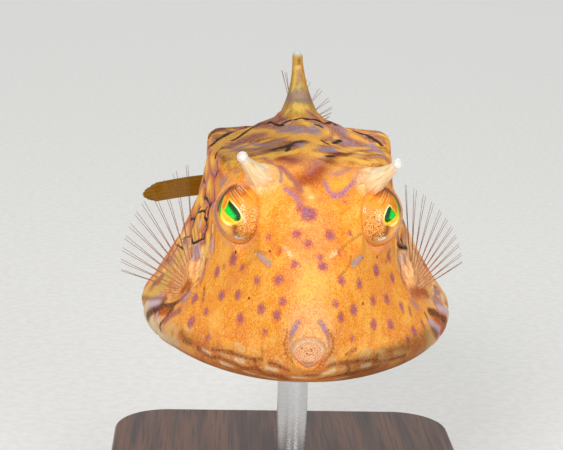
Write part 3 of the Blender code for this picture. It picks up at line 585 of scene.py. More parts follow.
def skin_finish():
    made = Finish("skin", Specular_IOR_Level=0.05)
    coarse, fine, patches = made.noise(1.9, 3), made.noise(0.34, 2), made.noise(4.6, 3)
    grain, dust = made.noise(0.17, 1), made.noise(0.24, 1)
    drift = made.noise(3.6, 3, made.stretched((0.55, 1.0, 1.0)))
    rim = made.math("ABSOLUTE", made.math("SUBTRACT", drift, 0.48))
    colour = made.tinted(
        made.attribute("paint", "Color"), made.attribute("mottle"),
        (coarse, 0.47, 0.66, 0.32, FACE_GOLD), (fine, 0.5, 0.7, 0.34, tone(255, 212, 110)),
        (fine, 0.48, 0.3, 0.46, tone(226, 104, 20)), (patches, 0.52, 0.66, 0.5, tone(250, 190, 84)),
        (patches, 0.47, 0.34, 0.4, tone(222, 116, 62)))
    colour = made.tinted(
        colour, made.attribute("clouds"), (drift, 0.53, 0.6, 0.85, BRIGHT),
        (drift, 0.47, 0.4, 0.8, tone(156, 108, 118)), (rim, 0.045, 0.0, 0.75, tone(150, 76, 34)))

    # Six-sided plates from their own coordinates, wavering a little
    waver = made.node("ShaderNodeVectorMath", {0: made.noise(1.6, 2, output=1), 1: (0.5, 0.5, 0.5)},
                      operation="SUBTRACT")
    plates = made.node("ShaderNodeVectorMath", {0: made.attribute("plates", "Vector"), 1: made.scaled(waver, 0.2)},
                       operation="ADD")
    u, v = made.parts(plates)
    edges = []
    for shift_u, shift_v in ((0.0, 0.0), (1.0, 0.5)):
        du = made.math("ABSOLUTE", made.math("WRAP", made.math("SUBTRACT", u, shift_u), 1.0, -1.0))
        dv = made.math("ABSOLUTE", made.math("WRAP", made.math("SUBTRACT", v, shift_v), 0.5, -0.5))
        edges.append(made.math("MAXIMUM", made.times(dv, 2.0), made.math("MULTIPLY_ADD", du, 1.5, dv)))
    edge = made.math("MINIMUM", *edges)
    halo_tint = made.blend(made.step(0.5, 0.66, made.noise(1.3, 2)), tone(186, 98, 62), tone(172, 122, 140))
    colour = made.tinted(colour, made.attribute("halo"), (made.wavered(edge, coarse, 0.9), 0.55, 0.95, 1.0, halo_tint))
    colour = made.tinted(colour, made.attribute("gold"), (made.wavered(edge, coarse, 0.8), 0.6, 0.15, 1.0, BRIGHT))
    colour = made.tinted(colour, made.attribute("pearl"), (made.wavered(edge, fine, 0.3), 0.5, 0.12, 1.0, CREAM))
    heavy = made.attribute("heavy")
    thin = made.math("ADD", made.wavered(edge, fine, 0.08), heavy)
    broken = made.step(0.36, 0.52, made.math("MULTIPLY_ADD", heavy, 4.0, made.noise(3.4, 2)))
    colour = made.tinted(colour, made.times(made.attribute("seam"), broken), (thin, 0.9, 0.975, 1.0, SOOT))

    # Threads spreading from the pectoral fin's root
    spread = made.node("ShaderNodeTexNoise", {"Vector": made.attribute("fan", "Vector"), "Scale": 4.5, "Detail": 2.0})
    colour = made.tinted(colour, made.attribute("near_fan"), (spread, 0.5, 0.64, 0.75, tone(246, 200, 134)),
                         (spread, 0.48, 0.36, 0.7, tone(180, 106, 58)))

    # Painted marks, their edges torn
    covered, grainy = made.attribute("covered"), made.attribute("grainy")
    torn = made.math("MULTIPLY_ADD", made.times(made.math("SUBTRACT", fine, 0.5), grainy), 0.8, covered)
    torn = made.times(made.step(0.05, 0.85, made.wavered(torn, coarse, 0.6)), made.step(0.0, 0.25, covered))
    gaps = made.times(grainy, made.step(0.44, 0.6, dust, 0.0, 0.5))
    colour = made.blend(made.times(torn, made.math("SUBTRACT", 1.0, gaps)), colour, made.attribute("marked", "Color"))
    fibres = made.noise(0.5, 3, made.stretched((1.0, 1.0, 0.14)))
    colour = made.tinted(colour, made.attribute("streaks"), (fibres, 0.5, 0.68, 0.6, tone(150, 100, 74)))

    # Spots, then fine grain over everything but the dark lines, all from their distances in millimetres
    spot = made.wavered(made.attribute("spot"), fine, 0.7)
    heart_tint = made.blend(made.step(0.42, 0.6, made.noise(0.5, 1)), tone(164, 76, 70), tone(128, 94, 144))
    colour = made.blend(made.step(0.45, -0.25, spot, 0.0, 0.7), colour, tone(204, 92, 66))
    colour = made.blend(made.step(0.1, -0.55, spot, 0.0, 0.85), colour, heart_tint)
    colour = made.tinted(colour, grainy, (grain, 0.47, 0.34, 0.34, tone(206, 90, 44)),
                         (grain, 0.54, 0.66, 0.3, tone(255, 214, 140)), (dust, 0.56, 0.66, 0.2, tone(232, 140, 142)))
    # Away from a middle tone, for livelier back and flanks
    share = made.math("ADD", made.attribute("lively"), 1.0)
    colour = made.node("ShaderNodeMix", {0: share, 6: tone(186, 118, 66), 7: colour}, 2, data_type="RGBA",
                       clamp_factor=False, clamp_result=True)
    widths = made.node("ShaderNodeVectorMath", {0: made.attribute("line", "Vector")}, 1, operation="LENGTH")
    widths = made.wavered(made.wavered(widths, coarse, 1.4), fine, 0.9)
    near_line = made.step(0.9, 0.7, made.attribute("line_away"))
    colour = made.tinted(colour, near_line, (widths, 1.3, 0.7, 0.95, tone(46, 22, 10)))
    dot = made.wavered(made.attribute("dot"), fine, 0.3)
    colour = made.blend(made.step(0.14, -0.1, dot, 0.0, 0.95), colour, tone(66, 22, 16))
    colour = made.tinted(colour, made.attribute("pores"), (made.noise(0.3, 0), 0.57, 0.65, 1.0, tone(186, 98, 38)))
    # Painted shade: the colour scaled down over the back and the low sides of the head, a little up on the flanks
    colour = made.scaled(colour, made.attribute("painted_shade"))

    pebbles = made.node("ShaderNodeTexVoronoi", {"Vector": made.place, "Scale": 1 / (0.42 * MM)})
    lumps = made.math("MULTIPLY_ADD", pebbles, -0.8, fine)
    rough = made.step(0.3, 0.7, fine, 0.42, 0.6)
    return made.done(Base_Color=colour, Roughness=rough, Normal=made.bump(lumps, 0.4, 0.12))


def eye_finish():
    made = Finish("eye", Specular_IOR_Level=0.3)
    flecks, grain = made.noise(0.2, 2), made.noise(0.12, 1)
    colour = made.tinted(made.attribute("paint", "Color"), made.attribute("fleck"),
                         (flecks, 0.5, 0.4, 0.85, tone(112, 44, 12)), (grain, 0.54, 0.62, 0.9, tone(255, 214, 130)))
    colour = made.scaled(colour, made.step(0.32, 0.68, grain, 0.82, 1.16))
    # Painted glow: the pupil and the yellow crescent below it give off a little light of their own colour
    glow = made.times(made.attribute("painted_glow"), 0.22)
    return made.done(Base_Color=colour, Roughness=0.4, Normal=made.bump(flecks, 0.2, 0.04), Emission_Color=colour,
                     Emission_Strength=glow)


def clear_finish(name, tint, gloss):
    """See-through and glossy, as the front of an eye."""
    made = Finish(name)
    clear = made.node("ShaderNodeBsdfTransparent", {"Color": tint})
    shine = made.node("ShaderNodeBsdfGlossy", {"Color": (1, 1, 1), "Roughness": 0.06})
    facing = made.node("ShaderNodeFresnel", {"IOR": gloss})
    mixed = made.node("ShaderNodeMixShader", {0: facing, 1: clear, 2: shine})
    made.plug(made.tree.nodes["Material Output"], {0: mixed})
    return made.material


def tip_finish():
    """A milky, nearly clear bead."""
    made = Finish("horn_tip", Base_Color=tone(236, 238, 234), Roughness=0.12, Specular_IOR_Level=0.6)
    edge = made.node("ShaderNodeLayerWeight", {"Blend": 0.35}, 1)
    cloud = made.step(0.35, 0.65, made.noise(0.5, 2), -0.08, 0.08)
    return made.done(Alpha=made.math("ADD", made.step(0.0, 0.8, edge, 0.42, 0.95), cloud))


def horn_finish():
    made = Finish("horn", Coat_Weight=0.2, Coat_Roughness=0.2)
    fibres = made.drawn((5.5, 0.5, 1.0), made.attribute("threads", "Vector"), 3.0)
    colour = made.attribute("paint", "Color")
    colour = made.blend(made.step(0.5, 0.72, fibres, 0.0, 0.85), colour, tone(255, 246, 222))
    colour = made.blend(made.step(0.5, 0.3, fibres, 0.0, 0.6), colour, tone(214, 156, 92))
    return made.done(Base_Color=colour, Roughness=0.36, Normal=made.bump(fibres, 0.5, 0.12))


def lip_finish():
    made = Finish("lip", Roughness=0.4, Specular_IOR_Level=0.4, Coat_Weight=0.15, Coat_Roughness=0.25)
    fine, grain = made.noise(0.3, 2), made.noise(0.12, 1)
    colour = made.blend(made.step(0.5, 0.64, grain, 0.0, 0.7), made.attribute("paint", "Color"), tone(244, 214, 178))
    colour = made.blend(made.step(0.5, 0.36, grain, 0.0, 0.4), colour, tone(206, 112, 62))
    colour = made.blend(made.step(0.06, -0.04, made.attribute("dot")), colour, tone(150, 50, 10))
    return made.done(Base_Color=colour, Normal=made.bump(fine, 0.5, 0.1))


def web_finish(name, clear_colour, root_colour, thin, thick, streaky=0.5, root=0.3, shine=0.4):
    """A fin's thin web, more solid at its root and streaked along its rays."""
    made = Finish(name, Roughness=0.3, Specular_IOR_Level=shine)
    span = made.attribute("span", "Vector")
    _, along = made.parts(span)
    streaks = made.drawn((7.0, 1.2, 1.0), span, 2.0)
    near_root = made.step(root, 0.05, along)
    colour = made.blend(near_root, clear_colour, root_colour)
    colour = made.blend(made.step(0.5, 0.68, streaks, 0.0, streaky), colour, tone(250, 226, 190))
    solid = made.math("MULTIPLY_ADD", near_root, thick, thin)
    solid = made.times(solid, made.step(0.3, 0.7, streaks, 0.6, 1.4))
    return made.done(Base_Color=colour, Alpha=solid)


def ray_finish(name, root_colour, tip_colour, jointed):
    made = Finish(name, Roughness=0.5, Specular_IOR_Level=0.2)
    span = made.attribute("span", "Vector")
    _, along = made.parts(span)
    colour = made.blend(made.step(0.1, 0.8, along), root_colour, tip_colour)
    joints = made.drawn((3.0, 40.0, 1.0), span, 1.0)
    colour = made.blend(made.step(0.45, 0.7, joints, 0.0, jointed), colour, tone(226, 170, 110))
    return made.done(Base_Color=colour, Normal=made.bump(joints, 0.3, 0.05))


def wood_finish():
    made = Finish("stand_wood", Coat_Weight=0.35, Coat_Roughness=0.22)
    grain = made.noise(3.0, 5, made.stretched((1.0, 0.06, 1.0)))
    pores = made.noise(0.5, 2, made.stretched((1.0, 0.03, 1.0)))
    colour = made.blend(made.step(0.35, 0.65, grain), tone(58, 34, 22), tone(104, 66, 42))
    colour = made.blend(made.step(0.5, 0.36, pores, 0.0, 0.6), colour, tone(34, 20, 14))
    return made.done(Base_Color=colour, Roughness=made.step(0.3, 0.7, pores, 0.5, 0.38),
                     Normal=made.bump(pores, 0.25, 0.1))


def metal_finish():
    made = Finish("stand_metal", Metallic=1.0, Base_Color=tone(206, 206, 208))
    brushed = made.noise(0.5, 2, made.stretched((0.1, 0.1, 5.0)))
    return made.done(Roughness=made.step(0.3, 0.7, brushed, 0.24, 0.34), Normal=made.bump(brushed, 0.03, 0.03))


# Skin


def orbit_rings(side):
    centre = eye_centre(side)
    axis = unit(np.array(ORBIT_AXIS) * (side, 1, 1))
    first, second = frame_about(axis)
    return [ring(centre + axis * h, first, second, r, r, 64) for h, r in ORBIT]


def opening_frame(side):
    """(way out of the opening, across it, up it), for the eye on that side."""
    turn, tip = math.radians(OPENING_TURN), math.radians(OPENING_TIP)
    out = np.array((side * math.sin(turn) * math.cos(tip), -math.cos(turn) * math.cos(tip), math.sin(tip)))
    across = unit(np.cross(out, (0, 0, 1)))
    return out, across, np.cross(across, out)


def opening_cutter(side):
    """The oval hole of the skin over an eye, as a pit that widens outwards from the eye's middle."""
    centre = eye_centre(side)
    out, across, up = opening_frame(side)
    turn = np.linspace(0, 2 * math.pi, 72, endpoint=False)[:, None]
    spread = 1 / np.sqrt((np.cos(turn) / math.radians(OPENING_WIDE)) ** 2
                         + (np.sin(turn) / math.radians(OPENING_TALL)) ** 2)
    way = out * np.cos(spread) + (across * np.cos(turn) + up * np.sin(turn)) * np.sin(spread)
    rings = [centre + out * 0.5 + way * 0.5, centre + way * 4.0, centre + way * 9.0, centre + out * 11.0 + way * 2.0]
    return mesh_object("opening", *loft(rings))


def thorn_rings():
    foot = np.array((0.0, THORN_Y, float(on_line(CREST_Z, THORN_Y))))
    rings = []
    for h in list(np.linspace(-0.32, 0.96, 36)) + [0.985, 1.0]:
        swell = (1 - h) ** (THORN_FLARE if h > 0 else 3.4)
        tip = THORN_TIP * (1.0 if h < 0.93 else math.sqrt(max(0.02, 1 - ((h - 0.93) / 0.075) ** 2)))
        width = tip + (THORN_HALF_WIDTH - THORN_TIP) * swell
        length = tip * 1.2 + (THORN_HALF_LENGTH - THORN_TIP * 1.2) * swell
        along = max(h, 0.0) ** 1.5
        centre = foot + (THORN_ASIDE * along, THORN_LEAN * along, THORN_HEIGHT * h - 0.5)
        rings.append(ring(centre, (1, 0, 0), (0, 1, 0), width, length, 48))
    return rings


def keel_spine_rings(side):
    x, z = float(on_line(KEEL_EDGE_X, KEEL_SPINE_Y)), float(on_line(KEEL_EDGE_Z, KEEL_SPINE_Y))
    root = np.array((side * (x - 0.4), KEEL_SPINE_Y, z))
    axis = unit((side * 0.05, 0.98, -0.12))
    first, second = frame_about(axis)
    rings = []
    for h in [-0.3] + list(np.linspace(0, 1, 12)):
        radius = 0.42 + (KEEL_SPINE_RADIUS - 0.42) * (1 - max(h, 0)) ** 1.2
        if h > 0.95:
            radius = 0.25
        rings.append(ring(root + axis * KEEL_SPINE_LENGTH * h, first, second, radius, radius, 24))
    return rings


def tail_rings():
    rings = []
    for share in np.linspace(-0.1, 1, 30):
        centre, way = tail_at(mix(1.3, TAIL_STALK_LENGTH + 0.4, max(share, 0.0)))
        if share < 0:
            centre = centre - way * 2.5
        side = np.cross(way, (0, 0, 1))
        slim = float(smooth_step(0, 0.75, share))
        rings.append(ring(centre, side, (0, 0, 1), mix(TAIL_ROOT_WIDTH, TAIL_END_WIDTH, slim) / 2,
                          mix(TAIL_ROOT_HEIGHT, TAIL_END_HEIGHT, slim) / 2, 40))
    return rings


def horn_foot_rings(name):
    """The skin's own rise round a horn's root."""
    root, tip = (np.array(p) for p in HORNS[name])
    axis = unit(tip - root)
    first, second = frame_about(axis)
    length = np.linalg.norm(tip - root)
    return [ring(root + axis * length * h, first, second, r, r, 40) for h, r in HORN_FOOT]


def horn_place(points, name):
    """(share of the way to the tip, angle round the horn, way out from its axis) of each point."""
    root, tip = (np.array(p) for p in HORNS[name])
    axis = unit(tip - root)
    first, second = frame_about(axis)
    out = points - root
    along = out @ axis
    out = out - along[:, None] * axis
    return along / np.linalg.norm(tip - root), np.arctan2(out @ second, out @ first), out


def ball(name, centre, radius, stretch=(1, 1, 1), segments=48):
    """A ball from a primitive, stretched along the frame's axes, at a place in the fish's frame."""
    nothing_selected()
    bpy.ops.mesh.primitive_uv_sphere_add(segments=segments, ring_count=segments // 2, radius=radius * MM,
                                         location=Vector((np.asarray(centre) + ORIGIN) * MM))
    made = bpy.context.object
    made.name = made.data.name = name
    made.scale = stretch
    settle_place(made)
    return made


def shell_places(points):
    """(y, plates down from the crest, plates all the way round) of each point on the shell."""
    ys = np.arange(0.0, SHELL_END + 0.1, 0.5)
    rounds = np.arange(0.0, ROUND_PLATES, 1 / 12)
    grid_y, grid_p = np.meshgrid(ys, rounds, indexing="ij")
    grid = shell_point(grid_y, grid_p).reshape(-1, 3)
    ahead = shell_point(grid_y + 0.25, grid_p).reshape(-1, 3) - grid
    beside = shell_point(grid_y, grid_p + 0.05).reshape(-1, 3) - grid
    tree = kdtree.KDTree(len(grid))
    for i, point in enumerate(grid):
        tree.insert(point, i)
    tree.balance()
    nearest = np.array([tree.find(point)[1] for point in points])
    off = points - grid[nearest]
    a, b = ahead[nearest], beside[nearest]
    aa, bb, ab = (a * a).sum(1), (b * b).sum(1), (a * b).sum(1)
    ad, bd = (a * off).sum(1), (b * off).sum(1)
    det = np.maximum(aa * bb - ab * ab, 1e-9)
    y = grid_y.ravel()[nearest] + 0.25 * np.clip((ad * bb - bd * ab) / det, -2, 2)
    plates = grid_p.ravel()[nearest] + 0.05 * np.clip((bd * aa - ad * ab) / det, -2, 2)
    plates %= ROUND_PLATES
    return y, np.minimum(plates, ROUND_PLATES - plates), plates


def plate_places(y, down):
    """Columns and rows of the plates, the rows half a plate lower where one lies by each pectoral fin."""
    u = (y - HEAD_END - 0.15) / (SHELL_END - HEAD_END - 0.15) * PLATE_COLUMNS
    return u, down + 0.5 * np.exp(-(((y - 34) / 6) ** 2) - ((down - 4) / 1.4) ** 2)


def plate_edge(u, v):
    """0 in the middle of a six-sided plate and 1 on the seam."""
    found = None
    for shift_u, shift_v in ((0.0, 0.0), (1.0, 0.5)):
        du = abs((u - shift_u + 1) % 2 - 1)
        dv = abs((v - shift_v + 0.5) % 1 - 0.5)
        edge = np.maximum(2 * dv, 1.5 * du + dv)
        found = edge if found is None else np.minimum(found, edge)
    return found


# Marks of the face as places in the fish's frame, with their radii
SPOTS = [
    (-0.1, 12.0, 16.8, 1.15), (2.9, 10.4, 14.1, 0.75), (-1.8, 10.1, 14.2, 0.65), (-0.3, 9.0, 13.1, 0.65),
    (6.0, 12.9, 13.8, 0.4), (-5.7, 12.3, 13.2, 0.4), (-10.7, 17.1, 8.8, 0.95), (-9.5, 14.4, 8.2, 0.5),
    (-13.0, 20.2, 6.1, 0.8), (-7.3, 10.6, 7.2, 0.6), (-4.4, 7.8, 8.1, 0.75), (-12.3, 16.5, 3.4, 0.75),
    (-10.0, 13.2, 4.4, 0.7), (-16.3, 22.5, 1.3, 0.75), (-6.7, 8.5, 3.6, 0.75), (-3.8, 5.9, 5.4, 0.6),
    (-4.6, 5.8, 3.4, 0.75), (-9.6, 11.2, 1.4, 0.7), (-16.7, 19.9, -1.6, 0.85), (-2.2, 7.5, 10.4, 0.6),
    (1.8, 7.3, 10.3, 0.7), (10.2, 15.6, 7.8, 0.9), (7.4, 10.6, 7.0, 0.7), (13.2, 20.2, 5.6, 0.75),
    (4.6, 8.0, 8.0, 0.65), (9.6, 12.5, 4.0, 0.7), (12.0, 15.9, 3.4, 0.75), (3.7, 5.7, 5.2, 0.55),
    (4.5, 5.7, 3.3, 0.7), (6.5, 8.2, 3.7, 0.8), (9.7, 11.1, 0.8, 0.75), (12.6, 14.4, -0.1, 0.75),
    (16.6, 19.1, -2.3, 0.7), (14.5, 19.1, 1.5, 0.6), (12.7, 21.5, 8.4, 0.7), (1.4, 8.0, 11.3, 0.5),
    (-1.4, 12.7, 17.3, 0.5), (-11.8, 18.9, 7.2, 0.4), (5.3, 15.4, 17.8, 0.3), (-14.0, 18.4, 0.2, 0.6),
    (14.6, 17.2, -3.4, 0.5), (-13.4, 15.6, -3.0, 0.5), (-6.0, 7.0, 0.6, 0.45), (6.4, 6.9, -0.2, 0.45),
]
DARK_DOTS = [
    (-8.4, 10.9, 4.5, 0.22), (-14.9, 21.5, 3.2, 0.24), (8.0, 10.2, 4.1, 0.24), (-10.4, 17.0, 9.9, 0.26),
    (10.5, 17.0, 9.5, 0.26), (-12.5, 29.3, 21.9, 0.24), (-2.5, 26.7, 23.5, 0.42), (5.6, 45.9, 23.9, 0.5),
    (8.0, 12.7, 10.4, 0.14), (-8.1, 13.2, 10.9, 0.14), (-5.2, 11.4, 11.2, 0.22), (5.0, 13.6, 19.2, 0.12),
]
# Dark lines as (half width, places). Here and below a line's places follow one another as x, y, z.
DARK_LINES = [
    (0.28, -10.9, 40.2, 22.5, -9.9, 40.9, 23, -8.9, 42.2, 23.3, -7.5, 43.9, 23.6, -6, 44.4, 23.9, -4.6, 45.2, 24.2,
        -3.4, 41.4, 25),
    (0.22, -3.4, 41.4, 25, -2.7, 41.3, 25.7, -1.7, 41, 26.2, -0.6, 40.7, 26.4, 0.6, 40.8, 26.5, 1.9, 41.4, 26.4, 3.1,
        42.4, 26, 4.2, 43.9, 25.3, 5.5, 47.6, 24),
    (0.34, 5.5, 47.6, 24, 6.7, 46.9, 23.8, 7.9, 45.4, 23.7, 8.8, 44.1, 23.6, 9.8, 43.1, 23.5, 10.7, 43.6, 23.4),
    (0.35, 10.7, 43.6, 23.4, 11.4, 42.1, 23.2, 12.2, 40.7, 22.9, 12.9, 39.2, 22.6),
    (0.25, -3.4, 41.4, 25, -2.8, 40.6, 24.9, -2.1, 40.7, 24.7),
    (0.38, 1.9, 40.5, 24.7, 3.2, 41.1, 24.7),
    (0.44, 2.9, 32.8, 24, 3.6, 32.3, 23.7),
    (0.4, 4.7, 34, 23.4, 6, 38.4, 23),
    (0.41, 3.3, 24.3, 23.1, 4.1, 25, 23),
    (0.4, -2.8, 26.2, 23.5, -2.4, 28, 23.8),
    (0.2, -14.9, 45.3, 21.5, -14.5, 43.3, 22.6, -13.9, 44.3, 23.4),
    (0.29, -14.5, 40.4, 21.3, -14, 39.4, 22.3, -13.4, 40, 22.7, -12.3, 41.3, 23, -11, 43.5, 23.2),
    (0.18, -13.6, 32.1, 21.2, -13.2, 34.3, 21.8, -12.8, 34.9, 22.2, -12.2, 36.1, 22.3),
    (0.19, -11, 43.5, 23.2, -9.6, 44.1, 23.6, -8.4, 46.6, 23.6),
    (0.23, -16.4, 38.4, 11.2, -15.9, 37.3, 11.5, -15.4, 34.4, 12.4, -14.9, 32.5, 12.8, -14.9, 31.9, 11.9, -14.8,
        29.7, 11.5, -14.7, 28.9, 11.2, -14.8, 28.7, 10.6, -15.1, 29.3, 10.1, -15.2, 28.8, 9.6, -15.4, 29, 9.2, -15.9,
        30.5, 8.6, -16.6, 31.9, 8, -17, 33, 7.6),
    (0.2, -17, 33, 7.6, -17.1, 33.9, 7.8, -17.3, 35.9, 8.2, -17.3, 37.3, 8.5, -17.2, 37.6, 8.9, -17, 37.6, 9.5),
    (0.17, -14.9, 32.5, 12.8, -14.8, 32.6, 13.4),
    (0.15, -18.7, 40.1, 6.4, -18.2, 38.8, 7.1, -17.7, 37.2, 7.7, -17.4, 36.3, 8.1),
    (0.13, -19.4, 41.5, 5.4, -18.1, 34.6, 6),
    (0.22, 14.8, 27.3, 9.2, 15.4, 28.2, 8.5, 16.2, 30.4, 7.9, 16.9, 32.6, 7.6),
    (0.12, 14.9, 29.4, 10.8, 15, 28.5, 9.9, 14.9, 27.5, 9.3),
]
CREASES = [
    [-3.6, 3.5, -0.1, -3.3, 3.3, -0.8, -3.2, 3.1, -1.4, -2.9, 2.5, -1.9, -2.3, 1.8, -2.4],
    [3.3, 3.3, 0.3, 3.3, 3.2, -0.5, 3, 2.7, -1.1, 2.4, 1.3, -1.4, 1.7, 1, -2.2, 1.2, 1, -2.8],
    [-3.1, 3.4, 1.2, -3.4, 3.3, 0.4, -3.6, 3.5, -0.1], [2.8, 2.6, 1.9, 3.2, 3.1, 1.1, 3.3, 3.3, 0.3],
]
BELLY_SEAMS = [
    (0.29, -15.6, 16, -4.6, -14.6, 14.6, -4.9, -13.7, 13.7, -5.2, -12.4, 12.1, -4.8, -11.2, 11, -4.9, -10.1, 10.1,
        -5.1, -9.1, 9.6, -5.5),
    (0.18, -13.6, 13.3, -3.9, -12.1, 11.8, -3.7, -11, 10.7, -3.6, -9.8, 9.6, -3.7, -8.6, 8.4, -3.7, -7.4, 7.4, -3.6,
        -6.5, 6.6, -3.3),
    (0.18, -7.4, 7.4, -3.6, -7.4, 7.5, -4.3, -7.1, 7.5, -4.9),
    (0.29, -7.1, 7.5, -4.9, -8.1, 8.5, -5.3, -9.1, 9.6, -5.5),
    (0.35, -5.4, 5.6, -3.5, -4.3, 4.6, -3.7, -3.3, 3.9, -3.9, -2.9, 3.7, -4),
    (0.43, -7.1, 7.5, -5, -6.2, 7.8, -5.7, -5, 7.6, -6.1, -3.8, 7.6, -6.4, -2.6, 8.5, -6.9),
    (0.54, -4.7, 6.9, -5.7, -3.6, 6.1, -5.6, -2.6, 7.8, -6.6),
    (0.47, -0.2, 3.4, -4.6, 1.1, 3.6, -4.7),
    (0.47, 1.9, 6.3, -6, 2.9, 5.7, -5.6, 4.3, 6.5, -5.6, 5.5, 6.9, -5.4, 6.6, 8.1, -5.8),
    (0.29, 2.5, 2.6, -3.1, 3.7, 4, -3.1, 4.7, 4.9, -3.2, 5.4, 5.6, -3.3),
    (0.2, 5.4, 5.6, -3.3, 6.4, 6.5, -3.5, 7.3, 7.3, -3.6, 8.5, 8.4, -3.9, 9.8, 9.5, -4.1),
    (0.2, 5.4, 5.6, -3.3, 6, 6.4, -4.5, 5.6, 7.1, -5.5),
    (0.44, 6.6, 8.1, -5.8, 7.4, 8.1, -5.3, 9, 9.4, -5.5, 10.5, 10.6, -5.3),
    (0.2, 9.8, 9.5, -4.1, 10.8, 10.5, -4.6, 12.1, 11.8, -4.7, 13.4, 13.2, -4.8, 15, 15.1, -4.9),
    (0.19, 9.8, 9.5, -4.1, 10.3, 10.1, -3.5),
]
